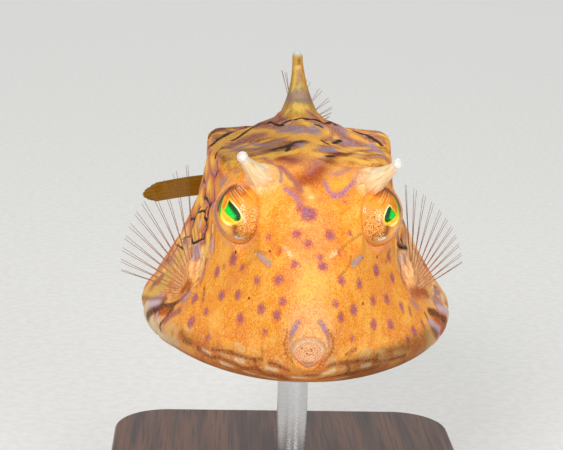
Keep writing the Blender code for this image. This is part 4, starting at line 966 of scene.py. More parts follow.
FLARE_MARKS = [
    (YELLOW, 1.1, 0.9, -20.7, 34, 1.3, -21.8, 35.2, 0, -23, 37.3, -1.5),
    (YELLOW, 0.76, 0.85, -19, 37.6, 5, -18.4, 33.7, 5, -18.5, 32.8, 4.5),
    (YELLOW, 0.59, 0.7, -24.5, 42.8, -3.1, -23.4, 35.9, -2.5),
    (YELLOW, 1.2, 0.7, -20.3, 35.7, 2.5, -21.3, 37, 1.4),
    (MAUVE, 1, 0.8, -22.9, 39.6, -0.6, -21.9, 38.5, 0.5),
    (MAUVE, 0.59, 0.75, -20.3, 40.4, 3.7, -19.6, 40.2, 4.7),
    (DUSK, 0.53, 0.7, -18.2, 38.2, 6.8, -17.7, 34.4, 6.9),
    (BONE, 0.44, 0.85, -24.9, 45.6, -3.5, -25, 42.9, -4.3, -24.6, 38.1, -4.9, -23.8, 33.9, -5.1),
    (BONE, 0.67, 0.8, -23.3, 32.3, -5.4, -22, 28.6, -5.7, -20.6, 25.9, -5.8, -18.7, 20.9, -5.2),
    (LILAC, 1.1, 0.9, -23.4, 35.1, -2.9, -22.1, 32.5, -1.7),
    (BONE, 1, 0.85, -24.2, 36.2, -4, -23.7, 35.4, -3.7),
    (BROWN, 0.4, 0.6, -24.8, 42.2, -3.8, -23.2, 35.5, -2.2, -21.9, 33.2, -1.4, -20.7, 29.7, -0.7),
    (RUST, 0.86, 0.9, -21.6, 29.3, -2.5, -20.4, 27.2, -1.8),
    (DARK, 0.8, 0.9, -23.6, 33.6, -4.6, -23, 31.9, -3.3, -22.1, 30.7, -2.3, -21.5, 29.9, -1.8),
    (DARK, 0.34, 0.95, -21.5, 29.9, -1.8, -20.5, 28.1, -1.2, -19.6, 27.2, -0.9, -18.8, 26.4, -0.2),
    (DARK, 0.52, 0.9, -19.9, 26.6, -1.7, -19.6, 26.8, -1.2),
    (DARK, 0.23, 0.95, -20, 26.7, -1.9, -20.5, 26.5, -2.7, -21.1, 26.8, -3.4, -21.6, 27.3, -4.2),
    (DARK, 0.28, 0.9, -21.6, 27.3, -4.5, -21.5, 27.2, -5.1),
    (LILAC, 0.42, 0.85, -22.1, 29.6, -3.2, -22.1, 28.9, -3.8),
    (BONE, 0.94, 0.8, -22.6, 30.1, -5, -22.1, 29, -5.1),
    (MAUVE, 0.7, 0.8, -20.6, 26.2, -3.1, -19.7, 25.6, -2.1, -18.6, 24.5, -1.2),
    (STRAW, 1.3, 0.75, -19.9, 23.7, -4, -19.3, 22.3, -3.9),
    (OCHRE, 0.46, 0.8, -19.5, 22.8, -4.2),
    (STRAW, 0.51, 0.7, -17.5, 20.2, -2.6, -16.7, 18.8, -2.7),
    (BROWN, 0.59, 0.6, -18.2, 20.5, -3.5, -17.8, 19.3, -4.1, -16.8, 17.8, -4.1),
    (DUSK, 0.64, 0.85, -18.1, 25.5, 0.5, -17.3, 24.7, 1.2),
    (BROWN, 0.33, 0.6, -16.9, 25.5, 2.2, -17.6, 25.4, 1.1, -18.7, 26.3, -0.1),
    (MAUVE, 0.39, 0.8, -14.9, 21, 2.8, -15, 20.2, 1.7),
    (MAUVE, 0.4, 0.7, -16.2, 22.9, 1.8, -15.9, 21.8, 1.5),
    (RUST, 0.23, 0.7, -14.7, 25.4, 7.1, -14.8, 24.4, 5.9, -14.9, 23.4, 4.8, -15.5, 23.2, 3.4),
    (DUSK, 0.2, 0.7, -14, 27.2, 11.2, -13.8, 25.7, 9.7, -14.1, 24.8, 8),
    (BRIGHT, 0.41, 0.8, -14.7, 27.7, 10, -14.4, 26.6, 8.9, -14.7, 25.9, 7.5),
    (YELLOW, 0.46, 0.8, 20.5, 32.7, 1.1, 20.9, 32, 0.2),
    (DUSK, 0.76, 0.7, 22.1, 36.7, 0, 22.9, 37.6, -1),
    (BONE, 0.65, 0.85, 23.6, 38.4, -1.7, 23.9, 36.7, -2.8, 24, 35.8, -4),
    (DUSK, 0.85, 0.6, 21.6, 32.2, -0.8, 22.7, 34.1, -1.8),
    (LILAC, 0.63, 0.9, 22.3, 32, -2.1, 23.7, 35.2, -3.9),
    (RUST, 1.9, 0.9, 21.5, 27.9, -3.2, 23.1, 31.4, -5),
    (DARK, 0.62, 0.92, 20, 27.2, -1.4, 21.2, 28.7, -2, 22.2, 29.8, -2.9, 23.4, 32.4, -4.4),
    (DARK, 0.31, 0.85, 19, 25.4, -1.2, 19.5, 25, -2.1, 20, 24.7, -3),
    (LILAC, 0.83, 0.9, 20, 25.3, -2.7, 20.9, 26.1, -3.6, 21.9, 27.4, -4.7),
    (BROWN, 0.62, 0.85, 20.3, 24.5, -3.7, 21.5, 27.2, -5.3),
    (MAUVE, 0.51, 0.8, 18.3, 22.7, -1.9, 18.7, 22.3, -2.8, 19.2, 22.1, -3.7),
    (STRAW, 1.3, 0.75, 19.2, 22.1, -4.4, 19.9, 23.5, -5.2),
    (STRAW, 0.4, 0.6, 17.2, 19.5, -2.7, 17.7, 19.5, -3.5),
    (BONE, 0.36, 0.8, 23.8, 34.7, -4.7),
    (MAUVE, 0.42, 0.8, 14.8, 19.7, 1.7, 14.9, 18.9, 0.7),
    (MAUVE, 0.43, 0.8, 16, 21.2, 0.7, 16.3, 20.7, -0.2),
    (DUSK, 0.69, 0.8, 16.7, 23.1, 1.1, 17.4, 23.7, 0.4),
    (BRIGHT, 0.39, 0.8, 14.2, 27.1, 9.8, 14.2, 25.5, 8.4, 14.3, 24.3, 7.1),
    (MAUVE, 0.37, 0.75, 13, 23.1, 9.3, 12.5, 21.3, 8.7, 12.1, 19.8, 8.1),
    (RUST, 0.27, 0.7, 14.9, 25.6, 6.8, 15.1, 24, 5, 15.7, 23.5, 3.2),
    (BRIGHT, 0.65, 0.8, -15.6, 40.6, 14, -15.7, 38.8, 13.2, -15.7, 36.5, 12.6),
    (RUST, 0.64, 0.55, -15.4, 34.9, 11.6, -15.5, 33.7, 11.2),
    (LILAC, 0.54, 0.8, -15.7, 33.2, 10.9, -15.8, 32.7, 10.5),
    (BRIGHT, 0.35, 0.85, -16.9, 36, 9, -16.9, 33.5, 8.1),
    (BRIGHT, 0.35, 0.85, -16.5, 35, 9.8, -16.3, 31.9, 8.6),
    (BRIGHT, 0.32, 0.6, -15.8, 31.3, 9.5, -15.8, 30.7, 9),
    (RUST, 0.29, 0.5, -14.4, 33.4, 15.9, -14.4, 31.5, 13.9, -14.5, 30, 12.7, -14.5, 28.2, 11),
    (YELLOW, 0.46, 0.7, -14.5, 27.3, 10, -14.7, 27.1, 8.4, -14.8, 25.9, 7.2),
    (RUST, 0.24, 0.5, -14.1, 27.7, 12.1, -14, 26.3, 9.6),
    (STRAW, 0.19, 0.7, -13.7, 27.2, 11.7, -13.7, 26.5, 10.8),
    (LILAC, 0.22, 0.75, -13.7, 25.4, 9.8, -13.8, 24.2, 8.3),
    (RUST, 0.19, 0.45, -13.4, 26.5, 11.9, -13.4, 24.8, 9.9, -13.5, 23.5, 8.4),
    (MAUVE, 0.31, 0.6, -16.1, 30.3, 8.2, -15.2, 27.7, 8.8),
    (LILAC, 0.22, 0.85, -16.7, 31.2, 7.5, -16.6, 29.8, 6.9, -16.5, 28, 5.9),
    (LILAC, 0.18, 0.8, -16.2, 30.4, 7.7, -16.1, 27.8, 6.7),
    (LILAC, 0.13, 0.85, -15.8, 29.8, 8.1, -15.7, 27.3, 6.8),
    (MAUVE, 0.16, 0.6, -16.4, 30.6, 7.6, -16.3, 27.7, 6.1),
    (MAUVE, 0.14, 0.6, -15.9, 30, 7.8, -15.8, 27.3, 6.5),
    (MAUVE, 0.24, 0.5, -17, 32.3, 7.2, -16.9, 29.4, 6),
    (YELLOW, 0.5, 0.75, -18, 35.2, 6.6, -18, 34.1, 5.5),
    (YELLOW, 0.5, 0.75, -19, 37.6, 5, -18.7, 33.3, 4.4),
    (MAUVE, 0.41, 0.65, -18.3, 38.1, 6.5, -18.2, 38.4, 7),
    (MAUVE, 0.46, 0.6, -19.5, 39.9, 5, -19.2, 40.7, 5.6),
    (DUSK, 0.56, 0.6, -20.4, 40.2, 3.4, -19.9, 36.7, 3.6),
    (PEACH, 1.4, 0.25, -17.4, 28, 4.1, -16.5, 27.2, 4.6),
    (DUSK, 0.16, 0.7, -15.1, 24.1, 5.1, -15.2, 23.7, 4.6, -15.4, 23.6, 4),
    (RUST, 0.71, 0.8, -18.1, 27.1, 1.5, -17.5, 26.6, 2.2, -16.9, 25.9, 2.8),
    (LILAC, 0.21, 0.7, -17.8, 25.1, 0.7, -17.2, 24.6, 1.4),
    (BRIGHT, 0.32, 0.85, 15.5, 32, 10.7, 15.4, 30.3, 10, 15.6, 29.6, 9),
    (BROWN, 0.54, 0.8, 15.2, 27.8, 8.8, 16, 30.2, 8.1, 16.8, 32.4, 7.7),
    (TAN, 0.4, 0.6, 17.2, 40.8, 9.7, 16.9, 36.7, 9.2, 16.7, 33.7, 8.6),
    (YELLOW, 0.22, 0.7, 14.2, 26.4, 9.2, 14.2, 25, 8, 14, 23.4, 6.8),
    (MAUVE, 0.19, 0.65, 14.6, 26.8, 8.4, 14.5, 24.7, 7),
    (LILAC, 0.17, 0.8, 15.6, 27.9, 7.5, 15.5, 27.1, 6.4),
    (VIOLET, 0.2, 0.5, 16.9, 31.3, 6.6, 16.7, 28.7, 5.9),
    (STRAW, 0.3, 0.8, 17.4, 33.9, 7.3, 17.2, 31.6, 6.4),
    (STRAW, 0.33, 0.9, 18.6, 37, 5.4, 18, 32.2, 4.9),
    (LILAC, 0.19, 0.7, 15, 26.6, 7.3, 14.9, 25.7, 6.7),
    (MAUVE, 0.15, 0.55, 16, 28.5, 7.4, 16, 27.2, 6.1),
    (MAUVE, 0.17, 0.55, 17.7, 33.2, 6.3, 17.3, 29.6, 5.2),
    (STRAW, 0.22, 0.7, 18.8, 33.8, 4.6, 18.5, 31.6, 4),
    (PEACH, 1.7, 0.25, 16.1, 26.1, 4.5, 17.4, 27.3, 3.7),
    (MAUVE, 0.14, 0.6, 14.8, 24.7, 6.3, 14.9, 23.7, 5.2, 15.2, 23.1, 3.9),
    (RUST, 0.93, 0.75, 16.8, 24.8, 2.1, 18.5, 28.1, 1.5, 19.9, 30.6, 0.7),
    (YELLOW, 0.3, 0.75, 20.2, 31.9, 1.2),
    (YELLOW, 0.3, 0.75, 20.7, 31.5, 0.3),
    (DUSK, 0.56, 0.7, 22.1, 36.1, -0.2, 22.1, 34.8, -0.5),
    (RUST, 0.36, 0.6, 21.8, 36.6, 0.5, 22.3, 38.2, -0.1),
]
# Soft areas of the forehead as (colour, radius, strength, places)
SOFT_AREAS = [
    (tone(156, 58, 0), 2.3, 1, -0.9, 16.7, 20.6, 0.6, 17.7, 21.1, 2.1, 19.7, 22),
    (tone(134, 56, 10), 1.9, 1, 3.3, 22.6, 22.7, 4.7, 25.5, 23, 6, 28.7, 23.2),
    (tone(150, 84, 104), 0.6, 0.6, 0.2, 18.7, 21.7, 1.3, 20.7, 22.4, 2.5, 23.8, 23.1),
    (tone(92, 36, 26), 1.9, 1, -4.4, 28.4, 23.6, -2.7, 28.9, 23.9, -0.8, 29.6, 24.4),
    (tone(134, 44, 8), 1.7, 1, -3.4, 23.2, 22.8, -2.1, 22, 22.7),
    (tone(228, 166, 70), 1.2, 0.8, -0.1, 26.5, 23.9, 1, 24.5, 23.4),
    (tone(234, 170, 66), 0.95, 0.85, 5.2, 23.3, 22.6, 7.1, 26.7, 22.7, 8.6, 28.8, 22.8),
    (tone(164, 104, 122), 0.75, 0.85, 3.9, 19, 21.4, 5.1, 19.8, 21.6, 6.2, 20.8, 21.7),
    (tone(242, 176, 62), 0.85, 0.85, 4, 16.7, 20.1, 5.4, 17.9, 20.3, 6.9, 19.3, 20.8),
    (tone(180, 92, 62), 0.75, 0.8, -3.9, 20.1, 22, -2.6, 17.7, 20.9, -1.7, 15.4, 19.6, -0.9, 14, 18.6),
    (tone(244, 182, 78), 0.75, 0.85, -3.6, 18.5, 21.2, -2.5, 16.7, 20.4),
    (tone(248, 188, 92), 0.8, 0.85, -0.4, 15.3, 19.7, 0.3, 14.2, 18.8),
    (tone(238, 166, 52), 1.1, 0.7, -7.2, 22.4, 21.9, -5.8, 19.8, 21.4, -4.8, 17.6, 20.3),
]
# Marks as (colour, half width, strength, places)
FACE_MARKS = [
    (DUSK, 0.5, 0.7, -1.3, 28.7, 24.3, -0.5, 27.5, 24.4),
    (DUSK, 1, 0.85, 2.9, 27.9, 23.8, 3.8, 27.7, 23.7, 4.7, 29.8, 23.5),
    (VIOLET, 0.38, 0.7, 2.3, 17.1, 20.7, 2.6, 16.3, 20.1, 3, 15.4, 19.4, 3.7, 15, 18.9),
    (VIOLET, 0.5, 0.75, 3.7, 15, 18.9, 4.6, 15.6, 18.9, 5.4, 16.7, 19.3, 6.1, 17.1, 19.9, 7, 17.2, 20.5, 7.7, 17.5,
        20.9),
    (MAUVE, 0.48, 0.75, -4, 20.5, 22, -3.3, 19.1, 21.6, -2.6, 17.9, 21, -1.9, 16.8, 20.5, -1.4, 15.8, 20, -1.1, 15.1,
        19.5),
    (VIOLET, 0.46, 0.72, -3.3, 15.9, 19.6, -2.6, 15, 19.2, -2, 14.4, 18.8, -1.5, 13.5, 18.1, -0.8, 12.8, 17.5, -0.1,
        12.3, 17),
    (DUSK, 0.42, 0.85, -5.6, 21, 21.9, -4.9, 19.5, 21.5, -4.5, 18.5, 21, -4.1, 17.3, 20.4),
    (DUSK, 0.24, 0.7, -8.5, 18.1, 21.1, -8.2, 17.2, 20.5, -7.8, 23.8, 18.3),
    (CREAM, 0.33, 0.6, 0.4, 14.2, 18.8),
    (MAUVE, 0.55, 0.6, -6.3, 24.7, 22.6, -5.4, 22.2, 22.3, -4.6, 19.8, 21.7),
    (UMBER, 0.46, 0.6, 6, 26.5, 22.8, 7.8, 31.9, 22.7, 9.7, 35.6, 22.5, 11.3, 35.9, 22.4),
    (MAUVE, 0.39, 0.5, -11.6, 25.9, 21.2, -11.3, 24.8, 20.7),
    (MAUVE, 0.22, 0.55, -7.9, 24.8, 14.9, -7.3, 24.5, 14.2, -6.8, 24.2, 13.5),
    (DUSK, 0.66, 0.6, -11.9, 24.9, 19.4, -12.6, 27.1, 18.1),
    # Pale ridges and coral pits at the nostrils, with the blue-grey patches beside them
    (CREAM, 0.4, 0.3, -3.2, 9.3, 12.2, -2.8, 8.6, 11.5),
    (CREAM, 0.27, 0.42, -3.6, 9.7, 12.4, -3.1, 9.1, 12, -2.7, 8.5, 11.4),
    (CREAM, 0.4, 0.3, 3.5, 9.3, 11.9, 3, 8.7, 11.5),
    (CREAM, 0.27, 0.42, 4.1, 9.8, 11.9, 3.5, 9.1, 11.6, 3, 8.5, 11.3),
    (CORAL, 0.43, 0.65, -4.5, 10, 11.5, -3.9, 9.5, 11.8),
    (CORAL, 0.42, 0.65, 4.3, 9.7, 11.5, 4.9, 10.3, 11.4),
    (MAUVE, 0.6, 0.45, -7.2, 11.8, 10.7, -6.1, 10.3, 10, -5.7, 9.8, 9.7),
    (MAUVE, 0.6, 0.45, 6.2, 10.3, 9.7, 7.7, 12.3, 10.4),
    (UMBER, 0.27, 0.4, -8.3, 13.6, 11.1, -7.2, 12.2, 11.2, -6.1, 11.1, 11.2),
    (UMBER, 0.27, 0.45, 6.1, 10.9, 10.9, 5.9, 10.3, 10.2, 5.3, 9.3, 9.3, 4.1, 7.9, 8.5),
    (SLATE, 0.3, 0.6, -7.4, 12.2, 10.8, -6.7, 11.2, 10.5),
    (SLATE, 0.37, 0.65, -6.7, 11.2, 10.5, -5.7, 9.9, 9.9),
    (SLATE, 0.4, 0.65, 6.5, 10.6, 9.8, 7, 11.4, 10.3),
    (SLATE, 0.29, 0.6, 7, 11.4, 10.3, 7.9, 12.7, 10.5),
    (UMBER, 0.27, 0.4, 3.9, 9.6, 11.8, 5.7, 11.8, 12.7, 7.7, 14.2, 13.6),
    (UMBER, 0.27, 0.3, -3.3, 9.2, 12, -4.5, 10.3, 12.3, -5.6, 11.6, 12.5),
    (MAUVE, 0.4, 0.6, -1.4, 13.2, 17.9, -0.6, 12.6, 17.3),
    # Arcs round the muzzle
    (RUST, 0.6, 0.35, -1.7, 3.1, 3.1, -2.3, 2.7, 2.4, -2.7, 2.5, 1.6),
    (RUST, 0.6, 0.35, 1.4, 3, 3.1, 2, 2.5, 2.4, 2.4, 2.1, 1.6),
    (ARC_BLUE, 0.52, 0.62, -1.75, 2.9, 2.9, -2.2, 2.7, 2.3),
    (ARC_BLUE, 0.4, 0.6, -2.2, 2.7, 2.3, -2.55, 2.4, 1.7),
    (ARC_BLUE, 0.3, 0.6, -2.5, 2.4, 1.9, -2.85, 2.3, 1.1, -3, 2.3, 0.5),
    (ARC_BLUE, 0.52, 0.62, 1.4, 2.8, 2.9, 1.9, 2.5, 2.3),
    (ARC_BLUE, 0.4, 0.6, 1.9, 2.5, 2.3, 2.3, 2.1, 1.7),
    (ARC_BLUE, 0.3, 0.6, 2.2, 2.1, 1.8, 2.5, 1.6, 0.9, 2.6, 1.5, 0.2),
    (MAUVE, 0.27, 0.25, -2, 5.6, 7.4, -0.2, 5.4, 7.9, 1.8, 5.3, 7, 2.1, 4.9, 6.1),
    # Belly
    (BROWN, 0.4, 0.55, -6.6, 6.9, -1.9, -6.4, 6.6, -2.4),
    (BROWN, 0.36, 0.6, 5.4, 5.6, -2.2, 6.2, 6.4, -2, 6.9, 7.2, -1.8),
    (BROWN, 0.27, 0.55, -11.1, 10.9, -3.4, -10.4, 10.2, -3.5),
    (BROWN, 0.4, 0.4, 11.4, 11.3, -3.2, 13.4, 13.3, -3.5, 15.6, 16, -4.1),
    (BROWN, 0.4, 0.4, -17.6, 19, -4.5, -15.9, 16.4, -4, -14.5, 14.4, -4),
]
# Pale bars of the belly as (half width, strength, places), the first ones with a pearly heart
PEARLY_BARS = [
    (0.61, 0.76, -10.1, 9.8, -4.3, -9.1, 8.9, -4.3),
    (0.63, 0.76, -5.8, 6.2, -4.5, -4.5, 5.3, -4.5),
    (0.89, 0.76, -1.8, 5.4, -5.6, -0.4, 5.1, -5.5),
    (0.97, 0.76, 2.4, 3.9, -4.5, 3.5, 4.4, -4.3),
    (0.65, 0.76, 8, 8.1, -4.7, 9.1, 8.9, -4.6),
    (0.63, 0.68, -12.1, 12.3, -5.6, -10.8, 11.4, -5.9),
    (0.39, 0.68, -14.9, 15, -4.5, -13.9, 13.7, -4.7),
    (0.68, 0.68, -6.3, 9.6, -6.7, -4.6, 9.2, -7),
    (0.68, 0.68, 4.3, 8.5, -6.7, 5.8, 8.7, -6.4),
    (0.44, 0.64, 10.8, 10.5, -4.6, 12.1, 11.8, -4.6),
    (0.68, 0.64, -8.6, 10.5, -6.4, -7.5, 9.9, -6.5),
]
PALE_BARS = [
    (0.56, 0.75, -10, 10.2, -2.3, -9.2, 9.2, -2.7),
    (0.4, 0.75, -4.6, 4.8, -2.6, -3.9, 4.1, -2.8),
    (0.6, 0.75, 2.6, 2.2, -2.2, 3.6, 3.6, -2.3),
    (0.57, 0.75, 7.7, 7.8, -3, 9, 9, -2.7),
    (0.43, 0.75, 10.3, 10.1, -3.3, 11.4, 11.3, -3.3),
    (0.4, 0.6, -12.1, 11.8, -4.3, -11.1, 10.8, -4.3),
    (0.33, 0.6, -7.3, 7.5, -2.5, -8.2, 8.3, -2.3),
    (0.43, 0.6, 5.6, 5.9, -4.1, 4.7, 5.2, -4.2),
    (0.48, 0.6, 13.2, 12.9, -4, 14.8, 14.8, -4.3),
]
BACK_MARKS = [
    (GOLD, 0.5, 0.9, -2.7, 40.5, 25.1, -0.8, 40.7, 25.3, 1.4, 39.9, 25.4, 2.7, 40.7, 25.2),
    (GOLD, 1.4, 0.85, -6.1, 40.5, 23.4, -3.9, 39.5, 23.6, -2, 34.1, 24.4, 0, 31, 24.9, 2.6, 37.6, 24.2, 4.7, 41.1,
        23.8),
    (GOLD, 1.1, 0.8, -10.2, 40.5, 22.9, -8.3, 41.9, 23.3, -6.7, 42.5, 23.6),
    (GOLD, 0.79, 0.8, 2.2, 31.9, 24.2, 1, 27.3, 24.1, 0, 25.6, 23.8),
    (GOLD, 1, 0.8, 5.7, 29.2, 23.3, 8.1, 35.3, 22.6, 10.5, 37.7, 22.4),
    (GOLD, 1, 0.8, 7.7, 42.3, 23.4, 8.9, 41.2, 23.1, 10.4, 40.5, 22.8),
    (GOLD, 1.2, 0.7, -11.9, 33.4, 22.3, -11, 29.7, 22.4, -10.1, 27.2, 22.1),
    (MAUVE, 0.67, 0.85, -3.8, 43.5, 25.6, -2.8, 42.3, 26.2),
    (MAUVE, 0.95, 0.9, -11.8, 35.7, 22.3, -10.4, 38.1, 22.4, -9, 39.9, 22.8, -7.4, 40.3, 23.1, -6, 40, 23.3),
    (DUSK, 0.62, 0.75, -10.8, 32.3, 22.5, -9.2, 36.1, 22.5, -7.6, 37.4, 22.5, -6, 33.8, 23.1),
    (MAUVE, 0.72, 0.7, -5.6, 35.4, 23.1, -4.3, 35.1, 23.5, -2.9, 33.6, 24),
    (MAUVE, 0.75, 0.85, -6.7, 43.7, 23.7, -5.1, 43, 24, -3.3, 41.1, 24.2, -1.8, 38.5, 24.5),
    (DUSK, 1, 0.95, -2.7, 39.4, 24.3, -1.5, 38.2, 24.5, -0.3, 34.8, 24.9, 1, 35.4, 24.8, 2.2, 38.9, 24.5),
    (DUSK, 0.33, 0.8, -2.8, 41.6, 25.7, -1.7, 40.6, 25.9, -0.5, 40, 25.8),
    (DUSK, 0.83, 0.7, 3.4, 41.8, 25.3),
    (MAUVE, 1.2, 0.85, 5.6, 42.4, 23.8, 6.3, 40.9, 23.4, 7.2, 39.5, 23, 8.3, 39.3, 22.8, 9.2, 39.2, 22.6),
    (DUSK, 0.86, 0.8, 6.2, 44.2, 23.9, 6.9, 42.4, 23.5),
    (DUSK, 0.84, 0.8, 6.8, 38.8, 23, 8, 38.6, 22.7),
    (MAUVE, 0.74, 0.8, 9.1, 43.6, 23.5, 10.6, 42.3, 23.1, 11.7, 40.8, 22.9),
    (DUSK, 0.79, 0.8, 11, 39.3, 22.3, 11.6, 36.1, 22.4, 12.2, 34.3, 22.2),
    (MAUVE, 0.35, 0.7, 4, 43.3, 24.1, 4.9, 41.3, 23.8, 4.5, 37.4, 23.5),
    (UMBER, 0.54, 0.7, -8.6, 44.8, 23.7, -6.6, 46.6, 23.7, -4.4, 44.2, 24.8),
    (MAUVE, 0.87, 0.6, -13.4, 46.6, 23.6, -12.1, 43.7, 23.6, -10.8, 43.7, 23.3),
    (UMBER, 0.64, 0.7, -14.8, 44.1, 22, -13.7, 43.8, 23.4, -12.4, 45.8, 23.8),
    (GOLD, 0.86, 0.8, -13.4, 37.7, 22.1, -12.4, 39.5, 22.6, -11.2, 41.3, 22.9),
    (MAUVE, 0.74, 0.6, 11.6, 43.6, 23.6, 12.8, 42.2, 23.2, 13.6, 40.6, 22.8),
    (TAN, 0.7, 0.9, -0.2, 46.6, 33.3, -0.1, 45.6, 31.8),
    (YELLOW, 0.33, 0.95, -0.9, 47, 33.7, -1, 46.3, 32.3, -1.3, 45.7, 31.1, -1.5, 45.2, 30.2),
    (OCHRE, 0.24, 0.8, 0.5, 47.5, 33.8, 0.8, 46.8, 32.3, 1.1, 45.9, 31.1),
    (BROWN, 0.35, 0.7, -0.2, 47.4, 35, -0.2, 47.2, 34.4),
    (STRAW, 0.27, 0.85, -0.5, 46.8, 33.7, -0.1, 46.9, 33.8),
    (OLIVE, 0.47, 0.85, -0.5, 44.9, 30.8, 0.2, 45.2, 31.1),
    (GREY, 0.42, 0.8, -1.3, 44.7, 30, -0.7, 44.7, 30.5, -0.1, 44.4, 30.3),
    (PUTTY, 0.69, 0.9, -1.7, 44.7, 29.5, -0.1, 44.1, 29.8, 1.6, 44.9, 29.5),
    (MAUVE, 0.5, 0.45, -2, 44.7, 29, -2.7, 44.4, 27.7),
    (MAUVE, 0.5, 0.45, 1.7, 44.9, 29.2, 2.3, 44.2, 27.9),
    (YELLOW, 0.76, 0.8, -1.1, 42.8, 28.2, 0, 42.4, 28.1, 1.2, 42.7, 28),
    (YELLOW, 0.36, 0.8, -2.3, 43.4, 27.5, -2.9, 43.3, 26.7),
    (MAUVE, 0.45, 0.7, 1.3, 42.3, 27.5, 2.5, 42.7, 26.8, 3.5, 43.6, 26),
]
PAD_PLACE, PAD_SIZE = (16.45, 29.6, 2.9), (1.5, 4.6, 3.2)
FAN_HUB = (17.6, 27.0, 1.4)
NOSTRIL = (4.36, 9.9, 11.53)
FINEST_MARK = 0.27


def gill_slit(points, side):
    """Distance of each point to the slit between the head and the pectoral fin."""
    middle = flank_at_height(24.0, 3.2) * (side, 1, 1)
    return distance_to(points, [middle + (0, 0, 2.2), middle + (0, 0.3, 0), middle + (0, 0, -2.2)])


def paint_skin(skin, points, normals):
    y, down, _ = shell_places(points)
    x, z = points[:, 0], points[:, 2]
    keep_vector(skin, "plates", np.stack([*plate_places(y, down), np.zeros(len(y))], 1))
    paint = np.tile(np.array(FACE_ORANGE), (len(points), 1))

    on_back = smooth_step(2.3, 1.9, down)
    on_flank = smooth_step(1.9, 2.4, down) * smooth_step(6.7, 6.3, down)
    on_belly = smooth_step(6.4, 6.9, down)
    behind = smooth_step(22, 28, y)
    brush(paint, BACK_GOLD, on_back * smooth_step(19, 27, y))
    brush(paint, FLANK_TAN, on_flank * behind)
    brush(paint, MUZZLE, 0.85 * smooth_step(6.4, 2.5, distance_to(points, [(0, 1.0, 2.0)])))
    brush(paint, MUZZLE, 0.4 * smooth_step(4.5, 1.5, abs(x)) * smooth_step(16, 10, y) * smooth_step(-1, 3, z))
    brush(paint, SALMON, on_belly * smooth_step(2.0, 6.0, y))
    browed = np.zeros(len(points))
    for colour, radius, strength, *line in SOFT_AREAS:
        mask = strength * np.exp(-((distance_to(points, np.reshape(line, (-1, 3))) / radius) ** 2))
        brush(paint, colour, mask)
        browed = np.maximum(browed, mask)
    # Darker and redder towards the bottom of the head: partly its own colour, partly painted shade where the light
    # falls off below
    brush(paint, tone(216, 126, 54), 0.6 * smooth_step(3.0, -3.0, z) * smooth_step(28, 20, y))
    brush(paint, tone(204, 114, 52), 0.9 * smooth_step(-2.4, -4.0, z) * smooth_step(26, 14, y))
    brush(paint, tone(226, 176, 128), 0.6 * smooth_step(-6.4, -7.4, z + 0.08 * y) * smooth_step(20, 8, y))

    # Pale edge of the flare, and the soft pad that the pectoral fin grows from
    near_fan, fan_ways, by_root = np.zeros(len(points)), np.zeros((len(points), 3)), np.zeros(len(points))
    edge = np.exp(-((down - 6.5) / 0.35) ** 2) * smooth_step(20, 30, y) * smooth_step(76, 60, y)
    # A pale band along the flare's ridge: partly its own colour, partly a painted highlight on the ridge
    brush(paint, tone(232, 214, 180), 0.75 * edge)
    for side in (1, -1):
        hub = points * (side, 1, 1) - FAN_HUB
        turn, far = np.arctan2(hub[:, 2], hub[:, 0]), np.hypot(hub[:, 0], hub[:, 2])
        fan = smooth_step(8.2, 6.4, far) * smooth_step(-0.9, -0.3, turn) * smooth_step(3.1, 2.6, turn)
        fan *= smooth_step(22.8, 24.6, y) * smooth_step(16.0, 12.0, hub[:, 1])
        near_fan = np.maximum(near_fan, fan)
        by_root = np.maximum(by_root, fan * smooth_step(5.0, 3.0, far))
        brush(paint, tone(234, 170, 112) if side > 0 else tone(228, 156, 70), 0.85 * fan)
        rays = 0.5 + 0.5 * np.sin(19 * turn + 1.5 * np.sin(7 * turn))
        brush(paint, tone(250, 214, 166), 0.6 * fan * rays * smooth_step(2.0, 4.0, far))
        brush(paint, tone(170, 104, 104), 0.55 * fan * (1 - rays) ** 2 * smooth_step(3.0, 5.0, far))
        # Painted shadow: browner below the pectoral fin's root
        brush(paint, tone(196, 112, 58), 0.8 * fan * smooth_step(4.0, 2.0, far) * smooth_step(1.2, -0.6, hub[:, 2]))
        fan_ways[fan > 0] = np.stack([turn * 5, far * 0.22, np.full(len(turn), side * 3.0)], 1)[fan > 0]
        # Painted shade: darker along each gill slit
        brush(paint, tone(160, 84, 40), 0.4 * smooth_step(0.5, 0.1, gill_slit(points, side)))
        socket = abs(np.linalg.norm(points - eye_centre(side), axis=1) - EYELID_RADIUS)
        out, across, up = opening_frame(side)
        way = points - eye_centre(side)
        lateral = smooth_step(0.2, 0.8, (way @ across) * np.sign(across[0]) * side / EYELID_RADIUS)
        below = smooth_step(0.3, 0.8, -(way @ up) / EYELID_RADIUS)
        lid = smooth_step(1.0, 0.3, socket) * np.clip(lateral + below, 0, 1)
        brush(paint, tone(226, 150, 104), 0.85 * lid)
        along, around, out = horn_place(points, "horn_left" if side > 0 else "horn_right")
        near = smooth_step(3.4, 1.7, np.linalg.norm(out, axis=1)) * smooth_step(-0.5, 0.0, along) * (along < 0.6)
        thread = 0.5 + 0.5 * np.sin(19 * around + 2.5 * np.sin(5 * around + 6 * along))
        brush(paint, tone(240, 178, 112), 0.7 * near)
        brush(paint, tone(254, 232, 190), near * (0.25 + 0.75 * thread) * smooth_step(-0.2, 0.15, along))

    # Thorn, from its foot to its clear tip
    rise = z - float(on_line(CREST_Z, THORN_Y))
    on_thorn = smooth_step(0.2, 1.6, rise) * smooth_step(12.0, 9.0, abs(y - THORN_Y))
    brush(paint, tone(188, 148, 66), on_thorn)
    brush(paint, tone(116, 116, 104), 0.9 * on_thorn * np.exp(-((rise - 3.6) / 1.0) ** 2))
    brush(paint, tone(186, 204, 200), on_thorn * smooth_step(9.7, 10.4, rise))

    # Tail stalk
    stalk = smooth_step(77.5, 79.5, y) + (points[:, 1] > 78.5)
    brush(paint, tone(196, 122, 34), stalk)

